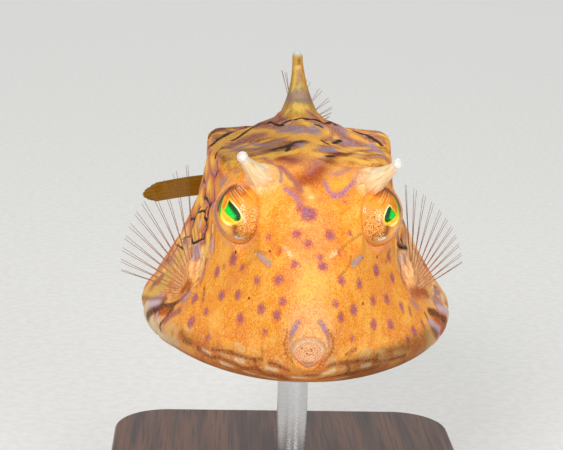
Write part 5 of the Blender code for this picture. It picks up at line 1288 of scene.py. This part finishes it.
    keep_colour(skin, "paint", paint)
    covered = np.zeros(len(points))
    marks = FACE_MARKS + [(STRAW, *bar) for bar in PEARLY_BARS + PALE_BARS]
    marks += [(PEARL, 0.455 * half_width, 0.8, *line) for half_width, _, *line in PEARLY_BARS]
    marks += [(BELLY_BROWN, 1.3 * half_width, 0.7, *line) for half_width, *line in BELLY_SEAMS]
    marks += [(UMBER, 0.6 * half_width, 0.5, *line) for half_width, *line in BELLY_SEAMS]
    marks += [(RUST, 0.3, 0.55, *line) for line in CREASES]
    for colour, half_width, strength, *line in marks + BACK_MARKS + FLARE_MARKS:
        away = distance_to(points, np.reshape(line, (-1, 3)), normals) / max(half_width, FINEST_MARK)
        mask = smooth_step(1.75, 0.25, away) * strength
        under = covered * (1 - mask)
        share = np.where(mask > 0, mask / np.maximum(mask + under, 1e-6), 0.0)
        paint += (np.array(colour) - paint) * share[:, None]
        covered = mask + under
    keep_vector(skin, "fan", fan_ways)
    keep_value(skin, "near_fan", near_fan)
    keep_colour(skin, "marked", paint)
    keep_value(skin, "covered", covered)
    keep_value(skin, "streaks", np.maximum(on_thorn * smooth_step(9.0, 7.0, rise), 0.9 * by_root))

    off_thorn, off_stalk = 1 - on_thorn, 1 - np.clip(stalk, 0, 1)
    on_shell = smooth_step(27, 31, y) * (1 - 0.9 * near_fan)
    seam = on_flank * 0.9 + on_belly * 0.8 * smooth_step(28, 34, y) + on_back * smooth_step(44, 50, y)
    seam = on_shell * seam * off_thorn + on_belly * smooth_step(13, 18, y) * 0.8 * (1 - on_shell)
    keep_value(skin, "seam", np.clip(seam, 0, 1) * off_stalk)
    clouds = on_back * smooth_step(18, 27, y) * (1 - 0.7 * smooth_step(46, 54, y)) * off_thorn
    keep_value(skin, "clouds", clouds * (1 - 0.55 * covered) * (1 - 0.8 * browed))
    keep_value(skin, "heavy", 0.05 * np.exp(-(((y - 34.4) / 4.5) ** 2) - ((down - 4) / 0.6) ** 2))
    halo = on_flank * behind * 0.85 * (1 - 0.8 * near_fan) + on_back * smooth_step(42, 48, y) * 0.9
    keep_value(skin, "halo", np.clip((halo + on_belly * on_shell * 0.35) * off_thorn, 0, 1) * off_stalk)
    keep_value(skin, "pearl", on_belly * smooth_step(12, 18, y) * 0.9 * off_stalk)
    gold = on_flank * smooth_step(27, 31, y) * 0.85 * (1 - near_fan) + on_back * smooth_step(44, 50, y) * 0.7
    keep_value(skin, "gold", np.clip(gold * off_thorn, 0, 1) * off_stalk)
    # Painted shade: the back darker, most on the fish's right, and the low sides of the head darker towards the bottom,
    # most on the fish's left; the flanks painted a little lighter
    painted_shade = 1 - on_back * smooth_step(20, 27, y) * mix(0.42, 0.1, smooth_step(-8, 9, x)) * off_thorn
    low = smooth_step(-1.8, -3.6, z) * smooth_step(2, 7, abs(x)) * smooth_step(30, 20, y)
    painted_shade *= 1 - low * mix(0.2, 0.5, smooth_step(-8, 8, x))
    keep_value(skin, "painted_shade", painted_shade * (1 + 0.04 * on_flank * behind))
    lively = 0.5 * on_back * smooth_step(20, 27, y) + 0.35 * on_flank * behind * smooth_step(5.6, 4.8, down)
    keep_value(skin, "lively", lively * off_thorn * (1 - 0.6 * near_fan))
    keep_value(skin, "grainy", 1 - 0.6 * browed - 0.75 * on_thorn - 0.55 * np.clip(on_flank * behind + edge, 0, 1))
    mottle = np.clip(1.0 - 0.55 * behind - 0.3 * on_belly - 0.9 * on_thorn, 0, 1)
    keep_value(skin, "mottle", mottle * (1 - 0.5 * covered) * (1 - 0.85 * browed))

    creased = np.min([distance_to(points, np.reshape(line, (-1, 3))) for line in CREASES], axis=0)
    keep_value(skin, "pores", smooth_step(1.1, 0.3, creased) + 0.25 * smooth_step(14, 8, y) * smooth_step(9, 5, z))
    keep_value(skin, "spot", nearest_edge(points, [(*place, radius * 1.14) for *place, radius in SPOTS], normals))
    keep_value(skin, "dot", nearest_edge(points, DARK_DOTS, normals))
    lines = [(half_width, np.reshape(line, (-1, 3))) for half_width, *line in DARK_LINES]
    offset, away = offset_to(points, lines, normals)
    keep_vector(skin, "line", offset)
    keep_value(skin, "line_away", away)


def remeshed(thing):
    """Gives the mesh one closed skin of evenly spaced points."""
    remesh = thing.modifiers.new("Remesh", "REMESH")
    remesh.mode, remesh.voxel_size = "VOXEL", SKIN_SPACING * MM
    apply_all(thing)


def make_skin(finish):
    ys = HEAD_START + (SHELL_END - HEAD_START) * np.linspace(0, 1, 110) ** 1.15
    rounds = np.arange(0, ROUND_PLATES, 1 / 8)
    points, faces = loft([shell_point(y, rounds) for y in ys])
    points[:, 2] += back_mound(points)
    body = mesh_object("skin", points, faces)
    extras = [mesh_object("thorn_form", *loft(thorn_rings())), mesh_object("tail_form", *loft(tail_rings()))]
    openings = []
    for side in (1, -1):
        extras.append(mesh_object("spine_form", *loft(keel_spine_rings(side))))
        extras.append(mesh_object("orbit_form", *loft(orbit_rings(side))))
        extras.append(ball("lid_form", eye_centre(side), EYELID_RADIUS))
        extras.append(ball("pad_form", np.array(PAD_PLACE) * (side, 1, 1), 1.0, PAD_SIZE))
        openings.append(opening_cutter(side))
    for name in HORNS:
        extras.append(mesh_object("horn_foot_form", *loft(horn_foot_rings(name))))
    skin = joined("skin", [body] + extras)
    remeshed(skin)
    cut(skin, openings)
    remeshed(skin)
    relaxed(skin, SKIN_ROUNDS)

    points = places(skin)
    normals = np.empty(len(points) * 3, np.float32)
    skin.data.vertices.foreach_get("normal", normals)
    normals = normals.reshape(-1, 3).astype(float)
    y, down, _ = shell_places(points)
    edge = plate_edge(*plate_places(y, down))
    on_shell = smooth_step(26, 30, y) * (points[:, 1] < 78.2) * (points[:, 2] < on_line(CREST_Z, y) + 0.6)
    on_shell *= mix(1.0, 0.35, smooth_step(2.0, 1.6, down) * smooth_step(46, 36, y))
    on_shell *= 1 - 0.8 * np.exp(-((down - 2) / 0.35) ** 2)
    lift = (PLATE_RELIEF * smooth_step(1.0, 0.66, edge) + PLATE_CROWN * (1 - edge**2)) * on_shell
    for side in (1, -1):
        lift -= 0.3 * smooth_step(0.6, 0.1, gill_slit(points, side))
        away = distance_to(points * (side, 1, 1), [NOSTRIL])
        lift += 0.32 * np.exp(-((away - 0.75) / 0.35) ** 2) - 0.35 * smooth_step(0.6, 0.1, away)
    put_places(skin, points + normals * lift[:, None])
    relaxed(skin, 1)
    paint_skin(skin, places(skin), normals)
    skin.data.materials.clear()
    return dressed(skin, finish)


# Eyes


PUPILS = {
    "eye_right": [(-1.4, 2.0), (-0.8, 1.6), (-0.1, 1.1), (0.5, 0.6), (0.9, 0.0), (1.0, -0.4), (0.8, -0.9), (0.4, -1.0),
                  (0.1, -1.0), (-0.5, -0.6), (-1.0, -0.3), (-1.5, 0.0), (-1.8, 0.3), (-1.6, 0.7),
                  (-1.4, 1.2), (-1.35, 1.7)],
    "eye_left": [(0.2, 1.2), (0.7, 0.9), (1.1, 0.4), (1.4, -0.1), (1.5, -0.6), (1.35, -1.05), (1.0, -1.15),
                 (0.5, -0.95),
                 (-0.1, -0.7), (-0.8, -0.3), (-0.4, 0.2), (0.0, 0.7)],
}


def signed_distance(points, outline):
    """Distance of flat points to a closed outline, below 0 inside it."""
    outline = np.array(outline, float)
    flat = np.c_[points, np.zeros(len(points))]
    closed = np.c_[np.r_[outline, outline[:1]], np.zeros(len(outline) + 1)]
    away = distance_to(flat, closed)
    inside = np.zeros(len(points), bool)
    for (ax, ay), (bx, by) in zip(outline, np.r_[outline[1:], outline[:1]]):
        crosses = (ay > points[:, 1]) != (by > points[:, 1])
        at = ax + (points[:, 1] - ay) / ((by - ay) or 1e-9) * (bx - ax)
        inside ^= crosses & (points[:, 0] < at)
    return np.where(inside, -away, away)


def paint_eye(eye, name, side, out):
    """Paints the iris in millimetres about the pupil, first towards the snout's middle, then up."""
    way = unit(out)
    inward = unit(np.cross(way, (0, 0, 1)))
    inward *= -side * np.sign(inward[0])
    up = np.cross(inward, way)
    up *= np.sign(up[2])
    aim = (places(eye) - eye_centre(side)) / IRIS_RADIUS
    angle = np.arccos(np.clip(aim @ way, -1, 1))
    across, tall = aim @ inward, aim @ up
    length = np.maximum(np.hypot(across, tall), 1e-6)
    flat = np.stack([across, tall], 1) / length[:, None] * (angle * IRIS_RADIUS)[:, None]
    shift = 0.0 if side < 0 else 0.7
    flat[:, 0] -= shift
    solid = np.c_[flat, np.zeros(len(flat))]
    outline = [(a - shift + (0.15 if side < 0 else 0.0), b) for a, b in PUPILS[name]]

    def at(*line):
        return [(a, b, 0.0) for a, b in line]

    paint = np.tile(np.array(tone(250, 166, 48)), (len(flat), 1))
    marks = [
        ((240, 158, 56), 1.3, 1.2, 0.6, (1.6, 2.4), (1.9, 0.6)),
        ((156, 66, 14), 1.0, 0.9, 0.95, (-1.9, 4.3), (-0.9, 4.1), (0.4, 4.0)),
        ((200, 96, 26), 0.6, 0.6, 0.75, (-1.4, 3.1), (0.2, 3.0)),
        ((236, 136, 40), 1.1, 0.7, 0.85, (2.4, -1.2), (2.3, -2.6), (1.3, -3.2)),
        ((232, 136, 34), 0.5, 0.5, 0.8, (-0.8, -2.1), (-0.8, -3.1)),
        ((144, 62, 16), 0.4, 0.45, 0.95, (0.25, -1.7), (0.15, -3.2)),
        ((255, 204, 112), 0.7, 0.6, 0.85, (-1.3, -2.9), (-2.4, -2.6)),
        ((238, 146, 56), 0.4, 0.5, 0.8, (3.2, 1.6), (3.7, -0.6), (3.5, -2.6), (2.4, -4.2)),
        # Painted highlight: a small pinkish-white spot beside the pupil
        ((255, 214, 180), 0.25, 0.4, 0.8, (1.5, -0.1), (1.6, -0.9)),
        # Painted highlight: the silvery white patch low on the iris
        ((200, 196, 188), 0.35, 0.35, 0.7, (-0.2, -3.9), (0.7, -4.1), (1.4, -4.0)),
        ((255, 255, 252), 0.3, 0.22, 1.0, (0.1, -3.9), (0.9, -4.1)),
        # The iris's peach lower rim: its own colour, painted brighter as painted light against the shade of the lid's
        # rim
        ((254, 184, 104), 0.5, 0.4, 0.9, (-2.2, -4.6), (0.2, -5.0), (2.4, -4.9), (3.6, -3.8), (4.3, -2.0)),
    ]
    for k in range(17):
        start = np.array((-1.55, 2.75)) + (0.1 * k, 0.13 * k) + (0.35 * math.sin(5 * k), -0.3 * math.sin(5 * k))
        end = start + np.array((2.3, -1.9)) * (0.7 + 0.25 * math.sin(3 * k)) + (0.02 * k, 0.0)
        hue = ((255, 206, 70), (222, 96, 28), (255, 236, 170), (176, 74, 24), (240, 150, 60))[k % 5]
        marks.append((hue, 0.05, 0.1, 0.9, start, end))
    marks += [
        ((236, 206, 50), 0.26, 0.25, 0.95, (-1.9, -0.2), (-1.1, -0.7), (-0.2, -1.2)),
        ((214, 226, 60), 0.3, 0.25, 0.95, (-2.3, 0.4), (-2.3, -0.5), (-1.9, -1.0)),
        ((255, 226, 60), 0.22, 0.2, 0.95, (-1.9, -1.0), (-1.3, -1.4), (-0.5, -1.5), (0.5, -1.3)),
        # Painted highlight: white streaks along the yellow crescent under the pupil
        ((255, 250, 190), 0.12, 0.16, 0.9, (-1.8, -1.3), (-1.1, -1.7), (-0.4, -1.75)),
        ((214, 150, 40), 0.06, 0.08, 0.8, (-2.2, -0.1), (-1.4, -0.75), (-0.5, -1.2)),
        ((250, 130, 24), 0.13, 0.12, 0.95, (outline[0][0] - 0.12, outline[0][1] + 0.5), (-1.95, 0.8)),
        ((255, 214, 60), 0.09, 0.1, 0.95, (-2.3, 2.2), (-2.35, 0.9), (-2.15, 0.1)),
        ((0, 178, 76), 0.2, 0.14, 0.95, (-2.65, 2.2), (-2.75, 1.0), (-2.7, 0.0), (-2.8, -0.6)),
        ((72, 44, 50), 0.34, 0.25, 0.9, (-2.3, 3.9), (-3.0, 2.6), (-3.3, 1.2), (-3.35, 0.2)),
        ((60, 34, 34), 0.1, 0.12, 0.8, (-2.2, 3.2), (-2.75, 2.5), (-3.0, 1.4)),
        ((208, 140, 108), 0.3, 0.22, 0.9, (-2.9, 3.9), (-3.7, 2.4), (-4.0, 0.8), (-3.8, -0.8), (-3.2, -2.2),
         (-2.2, -3.4)),
        ((122, 74, 70), 0.14, 0.14, 0.8, (-3.5, 3.8), (-4.3, 2.2), (-4.5, 0.4), (-4.2, -1.4)),
        ((232, 160, 108), 0.6, 0.4, 0.95, (-4.2, 3.6), (-5.0, 2.0), (-5.2, 0.2), (-4.8, -1.8), (-3.6, -3.4)),
    ]
    strokes(paint, solid, marks)
    away = signed_distance(flat, outline)
    brush(paint, tone(255, 226, 40), smooth_step(0.3, 0.16, away))
    # Painted highlight: the pupil's yellow rim turned white along its upper side towards the snout's middle
    lit = smooth_step(-0.9, -0.3, flat[:, 0]) * smooth_step(-0.7, 0.1, flat[:, 1])
    brush(paint, tone(255, 252, 214), 0.95 * smooth_step(0.3, 0.12, away) * lit)
    shade = distance_to(solid, at(outline[1], outline[4], outline[6]))
    inside = smooth_step(0.05, -0.05, away)
    shade += 0.16 * np.sin(31 * flat[:, 0] + 2) * np.sin(27 * flat[:, 1]) + 0.1 * np.sin(17 * (flat[:, 0] - flat[:, 1]))
    brush(paint, tone(0, 214, 70), inside)
    brush(paint, tone(26, 40, 20), 0.95 * inside * smooth_step(0.8, 0.5, shade))
    brush(paint, tone(16, 26, 14), inside * smooth_step(-0.1, -0.02, away))
    keep_colour(eye, "paint", paint)
    fleck = smooth_step(2.0, 1.0, distance_to(solid, at((1.9, -0.2), (2.6, -1.8), (1.5, -3.3)))) * (away > 0.3)
    keep_value(eye, "fleck", fleck)
    # Where the painted glow goes: the pupil and the yellow crescent below it
    yellow = smooth_step(0.9, 0.4, distance_to(solid, at((-2.1, -0.6), (-1.2, -1.5))))
    keep_value(eye, "painted_glow", np.clip(inside + yellow, 0, 1))


def make_eyes(iris, clear):
    made = []
    for name, (side, out) in EYES.items():
        eye = ball(name + "_iris", (0, 0, 0), IRIS_RADIUS, segments=300)
        turn = Vector((0, 0, 1)).rotation_difference(Vector(unit(out)))
        centre = Vector((eye_centre(side) + ORIGIN) * MM)
        eye.data.transform(Matrix.Translation(-Vector(ORIGIN * MM)))
        eye.data.transform(Matrix.Translation(centre) @ turn.to_matrix().to_4x4())
        paint_eye(eye, name, side, out)
        cornea = ball(name + "_cornea", eye_centre(side), CORNEA_RADIUS, segments=96)
        dressed(eye, iris)
        dressed(cornea, clear)
        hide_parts(name)
        made += [eye, cornea]
    return made


# Horns and lips


def make_horns(finish, clear):
    made = []
    for name, (root, tip) in HORNS.items():
        root, tip = np.array(root), np.array(tip)
        length = np.linalg.norm(tip - root)
        steps = np.linspace(HORN_PROFILE[0][0], HORN_PROFILE[-1][0], 46)
        profile = [(h * length, float(on_line(HORN_PROFILE, h))) for h in steps]
        horn = turned(name + "_fibrous", profile, 40, [finish], root, tip - root)
        points = places(horn)
        along, around, out = horn_place(points, name)
        ridge = 0.05 * np.sin(9 * around + 3 * along) + 0.03 * np.sin(17 * around - 4 * along)
        bend = np.clip(along, 0, 1) * (1 - np.clip(along, 0, 1))
        put_places(horn, points + out * (ridge * smooth_step(1.0, 0.6, along))[:, None] - np.outer(bend, (0, 0, 1)))
        keep_vector(horn, "threads", np.stack([np.cos(around) * 2, np.sin(around) * 2 + along * 1.5, along * 4], 1))
        paint = np.tile(np.array(tone(244, 222, 176)), (len(points), 1))
        brush(paint, FACE_ORANGE, 0.85 * smooth_step(0.22, 0.02, along))
        brush(paint, PEACH, 0.6 * smooth_step(0.45, 0.1, along))
        brush(paint, tone(246, 244, 236), smooth_step(0.8, 0.97, along))
        keep_colour(horn, "paint", paint)
        cap = dressed(ball(name + "_tip", tip - unit(tip - root) * 0.35, HORN_TIP_RADIUS), clear)
        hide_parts(name)
        made += [horn, cap]
    return made


def make_lips(finish):
    """The end of the muzzle: an arched upper lip over a full lower one, narrower downwards, with small pores."""
    profile = [(-2.2, 2.75), (-1.4, 2.7), (-0.7, 2.62), (-0.1, 2.58), (0.35, 2.5), (0.7, 2.34), (0.86, 2.14),
               (0.89, 1.98), (0.86, 1.86), (0.8, 1.78), (0.82, 1.66), (0.87, 1.48), (0.93, 1.2), (0.98, 0.9),
               (1.02, 0.5), (1.03, 0.2)]
    centre = np.array(LIP_CENTRE)
    lips = turned("lips_fleshy", profile, 64, [finish], centre, (0, -1, 0))
    smooth = lips.modifiers.new("Smooth", "SUBSURF")
    smooth.levels = smooth.render_levels = 1
    apply_all(lips)
    points = places(lips)
    radius = np.hypot(points[:, 0] - centre[0], points[:, 2] - centre[2])
    down = np.clip((centre[2] - points[:, 2]) / 2.5, -1, 1)
    low = smooth_step(-0.25, 1.0, down)
    points[:, 0] = centre[0] + (points[:, 0] - centre[0]) * (1 - 0.42 * low)
    points[:, 2] = np.where(down < 0, centre[2] + (points[:, 2] - centre[2]) * 0.8, points[:, 2])
    points[:, 1] += 0.9 * smooth_step(0.35, 1.0, down) - 0.35 * low * smooth_step(2.2, 0.8, radius)
    put_places(lips, points)
    upper = smooth_step(0.25, -0.2, down)
    paint = np.tile(np.array(tone(196, 130, 78)), (len(points), 1))
    brush(paint, tone(202, 140, 80), 0.85 * smooth_step(1.8, 1.2, radius) * smooth_step(0.35, -0.3, down))
    brush(paint, tone(206, 112, 66), 0.35 * upper * np.exp(-((radius - 1.76) / 0.12) ** 2))
    brush(paint, tone(198, 148, 102), smooth_step(1.75, 1.95, radius) * smooth_step(2.7, 2.5, radius) * upper)
    corner = smooth_step(0.8, 0.2, abs(radius - 2.05)) * smooth_step(0.0, 0.3, down) * smooth_step(0.9, 0.5, down)
    brush(paint, tone(210, 104, 56), 0.7 * corner)
    brush(paint, tone(208, 162, 124), 0.75 * smooth_step(1.8, 0.6, radius) * smooth_step(0.0, 0.5, down))
    brush(paint, tone(196, 124, 82), 0.8 * smooth_step(0.8, 1.0, down))
    brush(paint, MUZZLE, smooth_step(0.5, 1.1, points[:, 1] - centre[1] + 0.3 * upper))
    keep_colour(lips, "paint", paint)
    dots = [(-0.95, 0.75), (0.42, 0.42), (-0.25, 0.02), (0.1, -0.1), (0.28, 0.62), (-0.1, 0.45), (0.8, 0.7),
            (-0.6, 0.35), (1.2, 0.2), (-1.25, 0.2), (0.62, -0.2), (-0.5, -0.35)]
    dots = [(centre[0] + a, centre[2] + b, 0.12 if k < 5 else 0.07) for k, (a, b) in enumerate(dots)]
    dot = nearest_edge(points[:, [0, 2]], dots, None)
    keep_value(lips, "dot", np.where(points[:, 1] < centre[1] + 0.2, dot, 9.0))
    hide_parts("lips")
    return lips


# Fins


def straight_ray(root, way, length, bend):
    """Points from just inside the root to the tip, bending steadily sideways."""
    t = np.linspace(0, 1, FIN_STEPS + 1)[:, None]
    return np.asarray(root) + np.asarray(way) * ((length + FIN_SUNK) * t - FIN_SUNK) + np.asarray(bend) * t * t


def tube(path, radii):
    """Rings along a path, square to it."""
    way = np.gradient(path, axis=0)
    rings = []
    for point, direction, radius in zip(path, way, radii):
        first, second = frame_about(unit(direction))
        rings.append(ring(point, first, second, radius, radius, RAY_SIDES))
    return rings


def make_fin(name, rays, web, ray_material, web_thick=WEB_THICK, ray_radius=RAY_RADIUS, scallop=0.93,
             branch=0.55):
    """A thin web between slender rays that branch towards their tips."""
    rays = np.array(rays)
    count, steps = rays.shape[:2]
    along = np.linspace(0, 1, steps)
    columns, across = [], []
    for i in range(count - 1):
        for share in np.arange(WEB_COLUMNS) / WEB_COLUMNS:
            line = mix(rays[i], rays[i + 1], share)
            dip = 1 - (1 - scallop) * 4 * share * (1 - share)
            columns.append(np.stack([np.interp(along * dip, along, line[:, m]) for m in range(3)], 1))
            across.append(i + share)
    columns.append(rays[-1])
    across.append(count - 1)
    grid = np.array(columns)
    normal = np.cross(np.gradient(grid, axis=0), np.gradient(grid, axis=1))
    normal /= np.maximum(np.linalg.norm(normal, axis=2, keepdims=True), 1e-9)
    thick = mix(web_thick * 1.6, web_thick * 0.6, along)[None, :, None] / 2
    front, back = (grid + normal * thick).reshape(-1, 3), (grid - normal * thick).reshape(-1, 3)
    offset = len(front)
    faces = []
    last = len(grid) - 1
    for c in range(last):
        for j in range(steps - 1):
            a, b = c * steps + j, (c + 1) * steps + j
            faces.append((a, b, b + 1, a + 1))
            faces.append((offset + a + 1, offset + b + 1, offset + b, offset + a))
    border = list(range(steps)) + [c * steps + steps - 1 for c in range(1, last + 1)]
    border += [last * steps + j for j in range(steps - 2, -1, -1)] + [c * steps for c in range(last - 1, 0, -1)]
    for a, b in zip(border, border[1:] + border[:1]):
        faces.append((a, b, offset + b, offset + a))
    sheet = mesh_object(name + "_web", np.r_[front, back], faces, [web, ray_material])
    span = np.stack([np.repeat(across, steps), np.tile(along, len(grid)), np.zeros(offset)], 1)
    keep_vector(sheet, "span", np.r_[span, span])

    things = [sheet]
    for i, ray in enumerate(rays):
        fork = int(steps * branch)
        radii = mix(ray_radius, RAY_TIP_RADIUS, along**0.8)
        paths = [(ray[: fork + 1], radii[: fork + 1], along[: fork + 1])]
        neighbours = [rays[max(i - 1, 0)], rays[min(i + 1, count - 1)]]
        for other in neighbours:
            spread = 0.14 * (along[fork:] - along[fork])[:, None] / (1 - along[fork])
            paths.append((mix(ray[fork:], other[fork:], spread), radii[fork:] * 0.75, along[fork:]))
        for path, radius, shares in paths:
            rod = mesh_object("ray", *loft(tube(path, radius)), [web, ray_material])
            for face in rod.data.polygons:
                face.material_index = 1
            shares = np.repeat(shares, RAY_SIDES)
            keep_vector(rod, "span", np.stack([np.full(len(shares), float(i)), shares, 0 * shares], 1))
            things.append(rod)
    fin = joined(name + "_rays_and_web", things)
    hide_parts(name)
    return fin


def make_pectorals(web, ray_material):
    made = []
    for name, (top_deg, low_deg, top_length, low_length, top_z, low_z) in PECTORALS.items():
        side = 1 if name.endswith("left") else -1
        rays = []
        for share in np.linspace(0, 1, PECTORAL_RAYS):
            root = flank_at_height(PECTORAL_Y, mix(top_z, low_z, share))
            angle = math.radians(mix(top_deg, low_deg, share))
            way = unit((math.cos(angle), 0.25, math.sin(angle)))
            ray = straight_ray(root + (0.35, 0, 0), way, mix(top_length, low_length, share), (0.6, 1.6, 0))
            rays.append(ray * (side, 1, 1))
        made.append(make_fin(name, rays, web, ray_material, branch=0.15))
    return made


def make_middle_fins(web, ray_material):
    made = []
    for name, (upward, line, ys, (length, shorter), backs, asides, aside_end, bend) in MIDDLE_FINS.items():
        rays = []
        for share in np.linspace(0, 1, MIDDLE_RAYS):
            y = mix(*ys, share)
            back = math.radians(mix(*backs, share))
            aside = math.radians(mix(*asides, float(smooth_step(0, aside_end, share))))
            way = unit((math.sin(aside), math.sin(back), upward * math.cos(back) * math.cos(aside)))
            root = (0.0, y, float(on_line(line, y)))
            rays.append(straight_ray(root, way, length * (1 - shorter * share**2),
                                     (bend[0] * math.sin(aside), bend[1], 0)))
        made.append(make_fin(name, rays, web, ray_material))
    return made


def make_tail_fin(web, ray_material):
    rays = []
    for i in range(TAIL_RAYS):
        share = i / (TAIL_RAYS - 1) - 0.5
        pleat = TAIL_PLEAT * (1 if i % 2 else -1)
        ray = []
        for along in np.linspace(0, 1, FIN_STEPS + 1):
            length = TAIL_FIN_LENGTH * (1 - 0.5 * share * share)
            centre, way = tail_at(TAIL_STALK_LENGTH - 0.8 + (length + 0.8) * along)
            side = np.cross(way, (0, 0, 1))
            height = mix(TAIL_FIN_ROOT_HEIGHT, TAIL_FIN_END_HEIGHT, along)
            ray.append(centre + (0, 0, share * height) + side * pleat * along)
        rays.append(ray)
    return make_fin("fin_tail", rays, web, ray_material, web_thick=0.5, ray_radius=0.12, scallop=0.99,
                    branch=0.4)


# Stand, floor, light and camera


def make_stand(wood, metal):
    nothing_selected()
    bpy.ops.mesh.primitive_cube_add(size=1, location=(0, 0, BASE_SIZE[2] * MM / 2))
    base = bpy.context.object
    base.name = base.data.name = "stand_base_wood"
    base.scale = Vector(BASE_SIZE) * MM
    settle_place(base)
    bpy.ops.object.mode_set(mode="EDIT")
    bpy.ops.mesh.select_mode(type="EDGE")
    bpy.ops.mesh.select_all(action="DESELECT")
    body = bmesh.from_edit_mesh(base.data)
    for edge in body.edges:
        edge.select = abs(edge.verts[0].co.z - edge.verts[1].co.z) > MM
    bmesh.update_edit_mesh(base.data)
    bpy.ops.mesh.bevel(offset=BASE_CORNER * MM, segments=16, affect="EDGES")
    bpy.ops.mesh.select_all(action="DESELECT")
    body = bmesh.from_edit_mesh(base.data)
    for edge in body.edges:
        edge.select = min(v.co.z for v in edge.verts) > (BASE_SIZE[2] - 0.01) * MM
    bmesh.update_edit_mesh(base.data)
    bpy.ops.mesh.bevel(offset=BASE_EDGE * MM, segments=5, affect="EDGES")
    bpy.ops.mesh.select_mode(type="VERT")
    bpy.ops.object.mode_set(mode="OBJECT")
    base.data.materials.append(wood)
    alone(base)
    bpy.ops.object.shade_smooth_by_angle(angle=math.radians(35))
    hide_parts("stand_base")

    foot = np.array((0.0, ROD_Y, BASE_SIZE[2] - 45.0))
    collar_profile = [(0.0, 5.6), (0.3, 5.95), (0.9, COLLAR_RADIUS), (1.5, 5.9), (1.75, 5.4), (1.95, 4.3), (2.3, 3.6),
                      (COLLAR_THICK + 0.3, 3.3), (COLLAR_THICK + 0.3, 2.4)]
    collar = turned("stand_collar_turned", collar_profile, 72, [metal], foot, (0, 0, 1))
    top = float(on_line(KEEL_Z, ROD_Y)) + 0.4 - foot[2]
    rod_profile = [(0.4, ROD_RADIUS), (2.0, ROD_RADIUS), (top - 4, ROD_RADIUS), (top - 2.5, 2.4),
                   (top - 1.4, 2.25), (top, 2.2)]
    rod = turned("stand_rod_turned", rod_profile, 48, [metal], foot, (0, 0, 1))
    for thing, node in ((collar, "stand_collar"), (rod, "stand_rod")):
        alone(thing)
        bpy.ops.object.shade_smooth_by_angle(angle=math.radians(40))
        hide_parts(node)
    return [base, collar, rod]


def make_floor():
    nothing_selected()
    bpy.ops.mesh.primitive_circle_add(vertices=96, radius=4.0, fill_type="NGON", location=(0, 0, -0.0002))
    floor = bpy.context.object
    floor.name = floor.data.name = "studio_floor"
    made = Finish("floor_paper", Roughness=0.85)
    colour = made.blend(made.step(0.4, 0.6, made.noise(2.0, 2)), tone(222, 221, 217), tone(227, 226, 223))
    floor.data.materials.append(made.done(Base_Color=colour))


def add_lamp(name, place, size, watts, colour):
    data = bpy.data.lights.new(name, "AREA")
    data.shape, data.size, data.energy, data.color = "DISK", size, watts, colour
    lamp = bpy.data.objects.new(name, data)
    bpy.context.scene.collection.objects.link(lamp)
    lamp.location = place
    lamp.rotation_mode = "QUATERNION"
    lamp.rotation_quaternion = (Vector((0, 0, 0.05)) - lamp.location).to_track_quat("-Z", "Y")


def make_lights():
    add_lamp("key_light", (-0.22, -0.56, 0.36), 0.22, 2.5, (1.0, 0.97, 0.93))
    add_lamp("fill_light", (0.32, -0.52, 0.22), 0.3, 1.3, (1.0, 0.98, 0.95))
    add_lamp("room_light", (0.0, 1.2, 2.4), 2.6, 42.0, (0.98, 0.99, 1.0))
    world = bpy.data.worlds.new("studio")
    bpy.context.scene.world = world
    world.use_nodes = True
    world.node_tree.nodes["Background"].inputs["Color"].default_value = (0.86, 0.87, 0.88, 1)
    world.node_tree.nodes["Background"].inputs["Strength"].default_value = 0.42
    bpy.context.scene.view_settings.view_transform = "Standard"


def make_camera():
    turn, tip, roll = (math.radians(a) for a in (VIEW_AZIMUTH, VIEW_ELEVATION, VIEW_ROLL))
    back = np.array((math.sin(turn) * math.cos(tip), -math.cos(turn) * math.cos(tip), math.sin(tip)))
    right = np.array((math.cos(turn), math.sin(turn), 0.0))
    up = np.cross(back, right)
    leaning_right = right * math.cos(roll) + up * math.sin(roll)
    leaning_up = -right * math.sin(roll) + up * math.cos(roll)
    camera = bpy.data.objects.new("camera", bpy.data.cameras.new("camera"))
    bpy.context.scene.collection.objects.link(camera)
    matrix = Matrix((leaning_right, leaning_up, back)).transposed().to_4x4()
    matrix.translation = Vector((np.array(VIEW_AIM) + ORIGIN + back * VIEW_DISTANCE) * MM)
    camera.matrix_world = matrix
    camera.data.sensor_width = SENSOR
    camera.data.lens = FOCAL_PIXELS / IMAGE_WIDTH * SENSOR
    camera.data.clip_start, camera.data.clip_end = 0.01, 20.0
    bpy.context.scene.camera = camera


make_camera()
make_lights()
make_floor()

skin = make_skin(skin_finish())
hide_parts("head", "carapace", "thorn", "keel_spine_left", "keel_spine_right", "tail")
pieces = [skin]
clear = clear_finish("cornea", (1.0, 1.0, 1.0), 1.2)
pieces += make_eyes(eye_finish(), clear)
pieces += make_horns(horn_finish(), tip_finish())
pieces.append(make_lips(lip_finish()))
web = web_finish("fin_web", tone(196, 146, 100), tone(246, 196, 146), 0.02, 0.4)
rays = ray_finish("fin_rays", tone(190, 112, 62), tone(116, 70, 44), 0.3)
pieces += make_pectorals(web, rays)
pieces += make_middle_fins(web, rays)
# The tail fin's web and rays painted a darker amber than their own colour: partly painted shade
tail_web = web_finish("tail_web", tone(140, 95, 8), tone(110, 62, 10), 1.7, 0.1, 0.04, 0.85, 0.08)
tail_rays = ray_finish("tail_rays", tone(112, 64, 10), tone(136, 90, 8), 0.03)
pieces.append(make_tail_fin(tail_web, tail_rays))
pieces += make_stand(wood_finish(), metal_finish())
for piece in pieces:
    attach(piece, "root")
